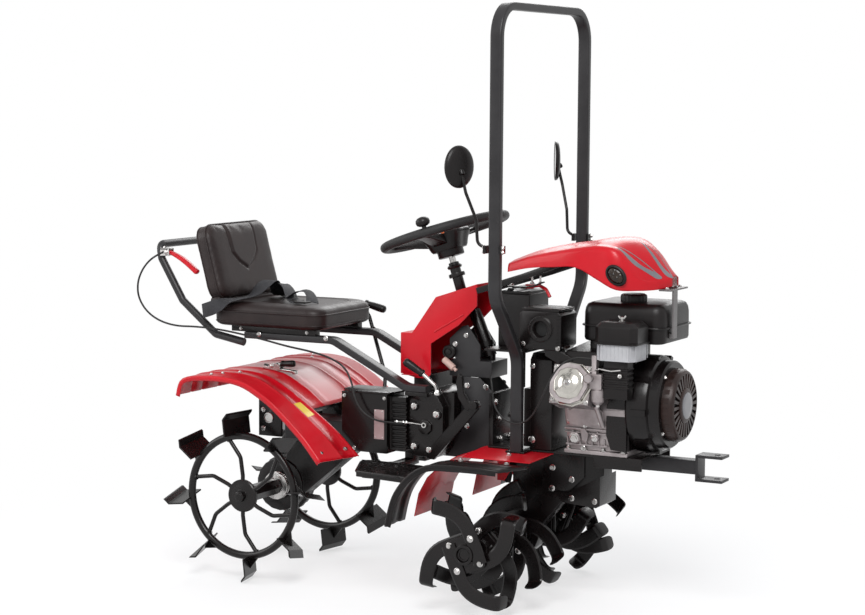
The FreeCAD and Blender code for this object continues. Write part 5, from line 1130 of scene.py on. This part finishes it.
def intake():
    """The wing nut on the air cleaner, flutes of the bowl, clips and the carburettor's fittings."""
    crown = moved(1192, -155, 850)
    nut = Form().add(lathe([(11, 0), (11, 1.5), (4, 2.5), (4, 12), (2, 13)], 20), crown)
    for side in (-1, 1):
        ear = [(0, 4), (side * 7, 7), (side * 12, 14), (side * 9, 17), (side * 3, 9), (0, 9)]
        nut.add(slab(ear, "Y", -1.2, 1.2), crown @ Matrix.Rotation(0.6, 4, "Z"))
    made("filter_nut", nut, STEEL, smooth=40)
    middle = moved(1192, -155, 0)
    dish = Form().add(lathe([(26, 849.6), (26, 850.6), (23, 851.2), (21, 850.8), (12, 850.7)], 40), middle)
    dish.add(slab(rounded_box(131, 117, 17, 4), "Z", 788, 793), middle)
    made("filter_rim", dish, PLASTIC, edge=0.8)
    flutes = Form()
    for index in range(9):
        x, y = 1142 + index * 12, index * 11 - 200
        flutes.add(block((x, -208.8, 746), (x + 3, -206, 786)))
        flutes.add(block((1251, y, 746), (1252.8, y + 3, 786)))
    made("bowl_flutes", flutes, BOWL, edge=0.7)
    carb = Form().add(lathe([(8, 612), (12, 615), (19, 622), (20, 640), (19, 654), (12, 658)], 28),
                      moved(1131, -177, 0))
    carb.add(lathe([(13, 0), (13, 26), (10, 30)], 24), facing((1112, -196, 690), (0.3, -1, 0)))
    carb.add(slab(rounded_box(26, 46, 6, 3), "X", 1106, 1110), moved(0, -177, 680))
    made("carburettor_bowl", carb, CAST, edge=0.8)
    bright = Form().add(bolt(10, 6, 7), facing((1131, -177, 612), (0, 0, -1)))
    bolted(bright, (8, 5, 6), [facing((1106, y, z), AFT) for y, z in ((-189, 694), (-159, 666))])
    bright.add(tube([(1118, -182, 706), (1140, -190, 716), (1176, -190, 712), (1204, -188, 716)], 2.2, 8, 8))
    bright.add(lathe([(6, 0), (6, 5), (3, 6), (3, 14)], 16), facing((1204, -190, 700), OUT))
    made("carburettor_bolts", bright, STEEL)


def exhaust():
    """The round outlet with its ring of studs, the louvres and the pressed lines of the muffler."""
    place = facing((941, -154, 813), OUT)
    collar = [(37, 0), (37, 2.5), (35, 4), (27, 4.5), (24.5, 4), (22.5, 1), (22.5, -20), (25, -20)]
    rim = Form().add(lathe(collar, joined=True), place)
    for index in range(8):
        rim.add(lathe([(2.6, 3), (2.6, 5.4), (1.2, 6)], 12),
                place @ turned(45 * index + 22, "Z") @ moved(30.5, 0, 0))
    for index in range(10):
        z = 764 + index * 9.5
        rim.add(slab([(990, z), (1003, z + 5), (1003, z + 7.5), (990, z + 2.5)], "Y", -152, -148))
    rim.add(stack([([(880 + i, i - 150), (997 - i, i - 150), (997 - i, -46 - i), (880 + i, -46 - i)], z)
                   for i, z in ((0, 864), (0, 869), (4, 873), (22, 874))]))
    made("exhaust_outlet", rim, BLACK, edge=0.7)
    # A thin dark rubber disc closes the outlet's bore 18 mm down: painted shade standing in for the shadow
    # inside the pipe.
    made("exhaust_bore_painted_shade", Form().add(lathe([(22.4, -19), (22.4, -18)], 40), place), RUBBER, smooth=60)
    bolts = bolted(Form(), (9, 5, 7), [facing((886, -150, 768), OUT), facing((994, -150, 760), OUT)])
    made("exhaust_bolts", bolts, STEEL)


valve_cover()
crankcase()
starter()
tank()
intake()
exhaust()

# ------------------------------------------------------------------ marks laid on the sheet

GRAPH = bpy.context.evaluated_depsgraph_get()
MARK_THICK = 0.6
RAY_START = 200


def laid(name, target, pairs, direction, material):
    """A thin mark laid on a piece: pairs of edge points, each carried on to the skin along one direction."""
    rows = []
    way = Vector(direction)
    rise = way * -MARK_THICK
    for pair in pairs:
        row = []
        for place in pair:
            hit, where, *_ = target.ray_cast(at(*place) - way * RAY_START / 1000, way, depsgraph=GRAPH)
            if hit:
                row.append((where - at(0, 0, 0)) * 1000)
        if len(row) == 2:
            left, right = row
            rows.append([left + rise, right + rise, right - rise * 0.4, left - rise * 0.4])
    made(name, skin(rows), material, smooth=40)


def crescents():
    """Plain grey shapes on the front of the hood: a broad stroke and a thin one that close a loop."""
    broad = [(-120, 1062, 1.5), (-119, 1046, 4), (-113, 1028, 7), (-101, 1010, 7.5), (-85, 994, 6),
             (-70, 981, 8), (-60, 973, 9), (-51, 968, 3)]
    thin = [(y, z, 1.4) for y, z in ((-51, 968), (-62, 990), (-76, 1014), (-92, 1034), (-104, 1047),
                                     (-117, 1060))]
    middle = [(-20, 1066, 1.5), (-29, 1048, 3.5), (-33, 1028, 5.5), (-33, 1008, 6), (-31, 990, 7),
              (-27, 976, 8), (-20, 967, 3)]
    middle_thin = [(y, z, 1.4) for y, z in ((-20, 967), (-10, 990), (-5, 1016), (-8, 1042), (-20, 1064))]
    strokes = [(1, line) for line in (broad, thin, middle, middle_thin)] + [(-1, broad), (-1, thin)]
    for index, (side, line) in enumerate(strokes):
        path = eased(line, 6)
        pairs = []
        for step, (y, z, half) in enumerate(path):
            run = heading([place[:2] for place in path], step) * half
            pairs.append(((1300, side * (y - run.y), z + run.x), (1300, side * (y + run.y), z - run.x)))
        laid(f"hood_mark_{index}", hood_shell, pairs, AFT, DECAL)


crescents()
label = [((x, -236, 560), (x, -200, 560)) for x in range(170, 221, 5)]
laid("fender_label", bpy.data.objects["rear_fender_sheet"], label, (0, 0, -1), YELLOW)

# ------------------------------------------------------------------ lamps and levers

for word, side in SIDES:
    turn = moved(1169.7, side * 146, 977) @ turned(40, "Y")
    stands_for = "marker_lamps" if side < 0 else ()
    steps = ((1.26, 0), (1.3, 4), (1.26, 8), (1.14, 10), (1.04, 9.6), (1, 7), (1, 1))
    rim = stack([(oval(27 * share, 27 * share - 9, 56), side * level) for share, level in steps], "Y", True)
    made(f"lamp_ring_{word}", Form().add(rim, turn), PLASTIC, smooth=50, stands_for=stands_for)
    steps = ((1.02, 1), (1.0, 6), (0.9, 8.6), (0.7, 10.4), (0.4, 11.6), (0.1, 12))
    glass = skin([[(a, side * (level + 0.5 * (i % 4 < 2)), b)
                   for i, (a, b) in enumerate(oval(27 * share, 18 * share, 56))] for share, level in steps])
    made(f"lamp_lens_{word}", Form().add(glass, turn), LENS, smooth=40, stands_for=stands_for)


def grip(name, start, end, radius):
    """A moulded grip with a collar, a waist and a round end."""
    run = Vector(end) - Vector(start)
    collar = [(0.72, -4), (0.95, -3), (1, 0), (1, 4), (0.84, 7)]
    waist = [(0.94, 0.3), (1.04, 0.6), (1.04, 0.84), (0.94, 0.95), (0.6, 1)]
    steps = collar + [(share, run.length * reach) for share, reach in waist] + [(0.2, run.length + 0.8)]
    shape = lathe([(radius * share, level) for share, level in steps], 32)
    made(name, Form().add(shape, facing(start, run)), PLASTIC, smooth=50)


def levers():
    """Gear lever, parking lever and the red clutch lever with its bracket."""
    stick = Form().add(tube([(596, -126, 602), (592, -128, 622), (552, -137, 658)], 6, 16, 14))
    stick.add(lathe([(13, 0), (13, 8), (9, 12), (8, 16)], 24), facing((597, -125, 597), (0.05, -0.05, 1)))
    made("gear_stick", stick, STEEL, smooth=50, stands_for="gear_lever")
    grip("gear_grip", (552, -137, 658), (499, -150, 694), 12)
    stick = tube([(290, 60, 446), (290, 100, 446), (262, 165, 600), (186, 198, 776), (164, 201, 808),
                  (176, 202, 816)], 6, 12, 14)
    made("park_stick", stick, BLACK, smooth=50, stands_for="park_lever")
    grip("park_grip", (172, 202, 817), (238, 208, 800), 12)
    bracket = Form().add(block((-362, -163, 971), (-328, -160, 995)))
    bracket.add(block((-362, -140, 971), (-328, -137, 995))).add(block((-362, -163, 990), (-334, -137, 994)))
    bracket.add(lathe([(5, 0), (5, 30), (3, 31)], 16), facing((-340, -165, 983), (0, 1, 0)))
    bracket.add(bolt(10, 6, 7), facing((-340, -163, 983), OUT))
    bracket.add(bolt(8, 6, 6), facing((-354, -150, 993), UP))
    bracket.add(lathe([(4.5, 0), (4.5, 10), (3, 11), (3, 15)], 16), facing((-352, -168, 982), (0, 1, 0)))
    made("clutch_bracket", bracket, STEEL, edge=0.6, stands_for="clutch_lever")
    line = ((-346, 984), (-326, 980), (-286, 962), (-256, 942), (-230, 922))
    path = eased([(x, -150, z) for x, z in line], 6)
    across = Vector((0, 1, 0))
    rows = []
    for step, point in enumerate(path):
        share = min(1, 0.55 + step / len(path) * 0.9) * (0.7 if step in (0, len(path) - 1) else 1)
        rise = across.cross(heading(path, step)).normalized()
        rows.append(section(Vector(point), across * share, rise * share, rounded_box(20, 15, 5, 3)))
    made("clutch_arm", skin(rows), RED, smooth=50)


levers()
lock = Form()
for y in (-112, -92):
    lock.add(slab([(4, 634), (44, 632), (44, 646), (30, 652), (4, 648)], "Y", y, y + 4))
lock.add(lathe([(5, 0), (5, 32), (3, 33)], 16), facing((16, -84, 643), OUT))
lock.add(lathe([(5, 0), (5, 26)], 16), facing((24, -100, 646), (1, 0, 0.12)))
made("fender_lock", lock, STEEL, edge=0.6)
grip("fender_grip", (48, -100, 650), (94, -106, 654), 10)

# ------------------------------------------------------------------ fittings of the frame

SLOPE = (0.76, 0, 0.65)
# Place, the way it looks, width, and one where the far side has its twin.
FASTENERS = [
    ((931, -35, 395), OUT, 13, 1), ((992, -35, 364), OUT, 13, 1), ((930, -35, 333), OUT, 13, 1),
    ((1004, -60, 314), OUT, 12, 1), ((1076, -60, 311), OUT, 12, 1), ((898, -110, 485), OUT, 15, 1),
    ((898, -110, 700), OUT, 11, 1), ((758, -32, 466), FORE, 13, 1), ((758, -40, 528), FORE, 13, 1),
    ((758, -66, 440), FORE, 13, 1), ((758, -66, 580), FORE, 13, 1), ((530, -147, 560), OUT, 13, 0),
    ((530, -147, 440), OUT, 13, 0), ((592, -147, 421), OUT, 13, 0), ((604, -147, 540), OUT, 14, 0),
    ((654, -54, 769), OUT, 11, 1), ((618, -54, 741), OUT, 11, 1), ((505, -75, 662), OUT, 12, 1),
    ((302, -300, 421), SLOPE, 12, 1), ((330, -206, 423), SLOPE, 12, 1), ((-80, -303, 632), UP, 8, 1),
    ((-62, -268, 632), UP, 8, 1), ((-35, -214, 631), UP, 8, 1), ((-7, -150, 743), OUT, 11, 1),
    ((230, -150, 744), OUT, 11, 1), ((-76, -144, 757), OUT, 8, 1), ((160, -144, 757), OUT, 8, 1),
    ((341, -170, 424), OUT, 8, 0), ((306, -170, 580), OUT, 8, 0), ((443, -170, 580), OUT, 8, 0),
    ((764, -300, 440), UP, 11, 1), ((908, -300, 442), UP, 11, 1), ((868, -130, 450), UP, 12, 1),
    ((868, -200, 450), UP, 12, 1), ((588, -161, 436), OUT, 12, 0), ((1284, -50, 936), UP, 9, 1),
    ((36, -194, 520), OUT, 11, 1), ((36, -194, 462), OUT, 11, 1), ((662, -60, 500), OUT, 12, 1),
    ((662, -60, 620), OUT, 12, 1), ((724, -60, 620), OUT, 12, 1), ((60, -60, 600), OUT, 12, 1),
    ((1134, -30, 430), OUT, 13, 1),
]
zinc = Form()
for (x, y, z), look, across, both in FASTENERS:
    for side in ((1, -1) if both else (1,)):
        turn = facing((x, side * y, z), (look[0], side * look[1], look[2]))
        zinc.add(bolt(across, across * 0.5, across * 0.72), turn)
for side in (-1, 1):
    zinc.add(lathe([(17, -2), (17, 1), (15.5, 3), (12, 3.4), (11, 1.6), (3, 1.6)], 36),
             facing((56, side * 195, 496), (0, side, 0)))
made("frame_bolts", zinc, STEEL)


def side_fittings():
    """Blank plate and cable adjuster on the side box, bearing caps, sleeve and pressed lines of the cover."""
    plate = slab([(409, 456), (443, 456), (443, 545), (409, 545)], "Y", -171.2, -169.4)
    made("side_plate", plate, PLATE, edge=0.8)
    parts = Form()
    for x, z in ((414, 461), (438, 461), (414, 540), (438, 540)):
        parts.add(lathe([(2.4, 0), (2.2, 1), (1, 1.7)], 12), facing((x, -171, z), OUT))
    parts.add(lathe([(4.5, 0), (4.5, 44), (3, 45), (3, 58)], 16), facing((470, -152, 510), FORE))
    bolted(parts, (11, 5, 6.5), [facing((x, -152, 510), FORE) for x in (474, 496, 506)])
    parts.add(tube([(526, -152, 510), (560, -152, 508)], 2.2, 2, 10))
    eye = lathe([(8, 149), (8, 155), (4.4, 155), (4.4, 149)], 24, joined=True)
    parts.add(eye, moved(567, 0, 507) @ turned(90, "X"))
    made("cable_adjuster", parts, STEEL, smooth=40)
    caps = Form()
    for side in (-1, 1):
        caps.add(lathe([(21, -2), (21, 8), (18, 11), (14, 11), (13, 7), (9, 7), (8, 10), (4, 10.6)], 40),
                 facing((601, side * 54, 717), (0, side, 0)))
    made("bearing_caps", caps, PLASTIC)
    sleeve = lathe([(9, -2), (10, 0), (10, 40), (8, 42), (5, 42), (5, 52)], 28)
    made("beige_sleeve", Form().add(sleeve, facing((590, -68, 694), (0.8, -0.1, -0.55))), TAN, smooth=40)
    lines = Form()
    for side in (-1, 1):
        for radius, places in ((2.4, ((560, 776), (566, 780), (650, 829), (656, 832))),
                               (1.6, ((450, 642), (497, 642), (536, 642)))):
            lines.add(along([Vector((x, side * 75, z)) for x, z in places], circle(radius, 8)))
    made("cover_creases", lines, RED, smooth=60)


def battery_fittings():
    """The clamp over the battery, its studs and the boot of one terminal."""
    clamp = Form()
    for wide, places in ((18, ((790, -50, 921), (850, -50, 922), (872, -50, 926), (902, -50, 938))),
                         (14, ((812, -58, 919), (812, 74, 919)))):
        clamp.add(along([Vector(place) for place in places], rounded_box(wide, 4, 1.5, 2)))
    made("battery_clamp", clamp, BLACK, smooth=40)
    studs = Form()
    for place in ((800, -50, 924), (812, 66, 922), (892, -50, 934)):
        studs.add(bolt(10, 5, 7), moved(*place)).add(lathe([(3, 0), (3, 22), (2, 23)], 14), moved(*place))
    made("battery_studs", studs, STEEL)
    boot = Form().add(slab(rounded_box(24, 18, 6, 3), "Z", 915, 928), moved(846, -24, 0))
    boot.add(tube([(856, -24, 922), (880, -30, 926), (912, -52, 918), (926, -56, 896)], 5, 16, 12))
    made("battery_boot", boot, RED, edge=1)


def footrests():
    """The raised treads and the round rims of the footrests."""
    treads, rims = Form(), Form()
    for side in (-1, 1):
        for row in range(7):
            y = 196 + row * 22
            low = 392 + (y - 179) * 0.3
            high = 580 + (y - 179) * 0.16
            for column in range(7):
                x = low + 16 + (high - low - 32) * (column + 0.5 * (row % 2)) / 6.5
                if x < high - 14:
                    turn = Matrix.Rotation(0.8 if (row + column) % 2 else -0.8, 4, "Z")
                    treads.add(slab(rounded_box(15, 5, 2.4, 3), "Z", -1.5, 1.6),
                               moved(x, side * y, 390.4) @ turn)
        corners = [Vector((x, side * y, 387)) for x, y in ((442, 337), (619, 366), (585, 179), (366, 167))]
        middle = (corners[0] + corners[3]) / 2
        rims.add(tube([middle, *corners, middle], 4.4, 22, 10))
    made("footrest_treads", treads, BLACK, edge=0.7)
    made("footrest_rims", rims, BLACK, smooth=50)


side_fittings()
battery_fittings()
footrests()
pipe = Form().add(tube([(1016, -128, 672), (994, -128, 694), (984, -112, 728), (980, -104, 762)], 15, 22, 20))
pipe.add(slab(rounded_box(60, 40, 10, 4), "Z", 758, 764), moved(978, -104, 0))
made("exhaust_pipe", pipe, SCREEN, slot="black", smooth=40)
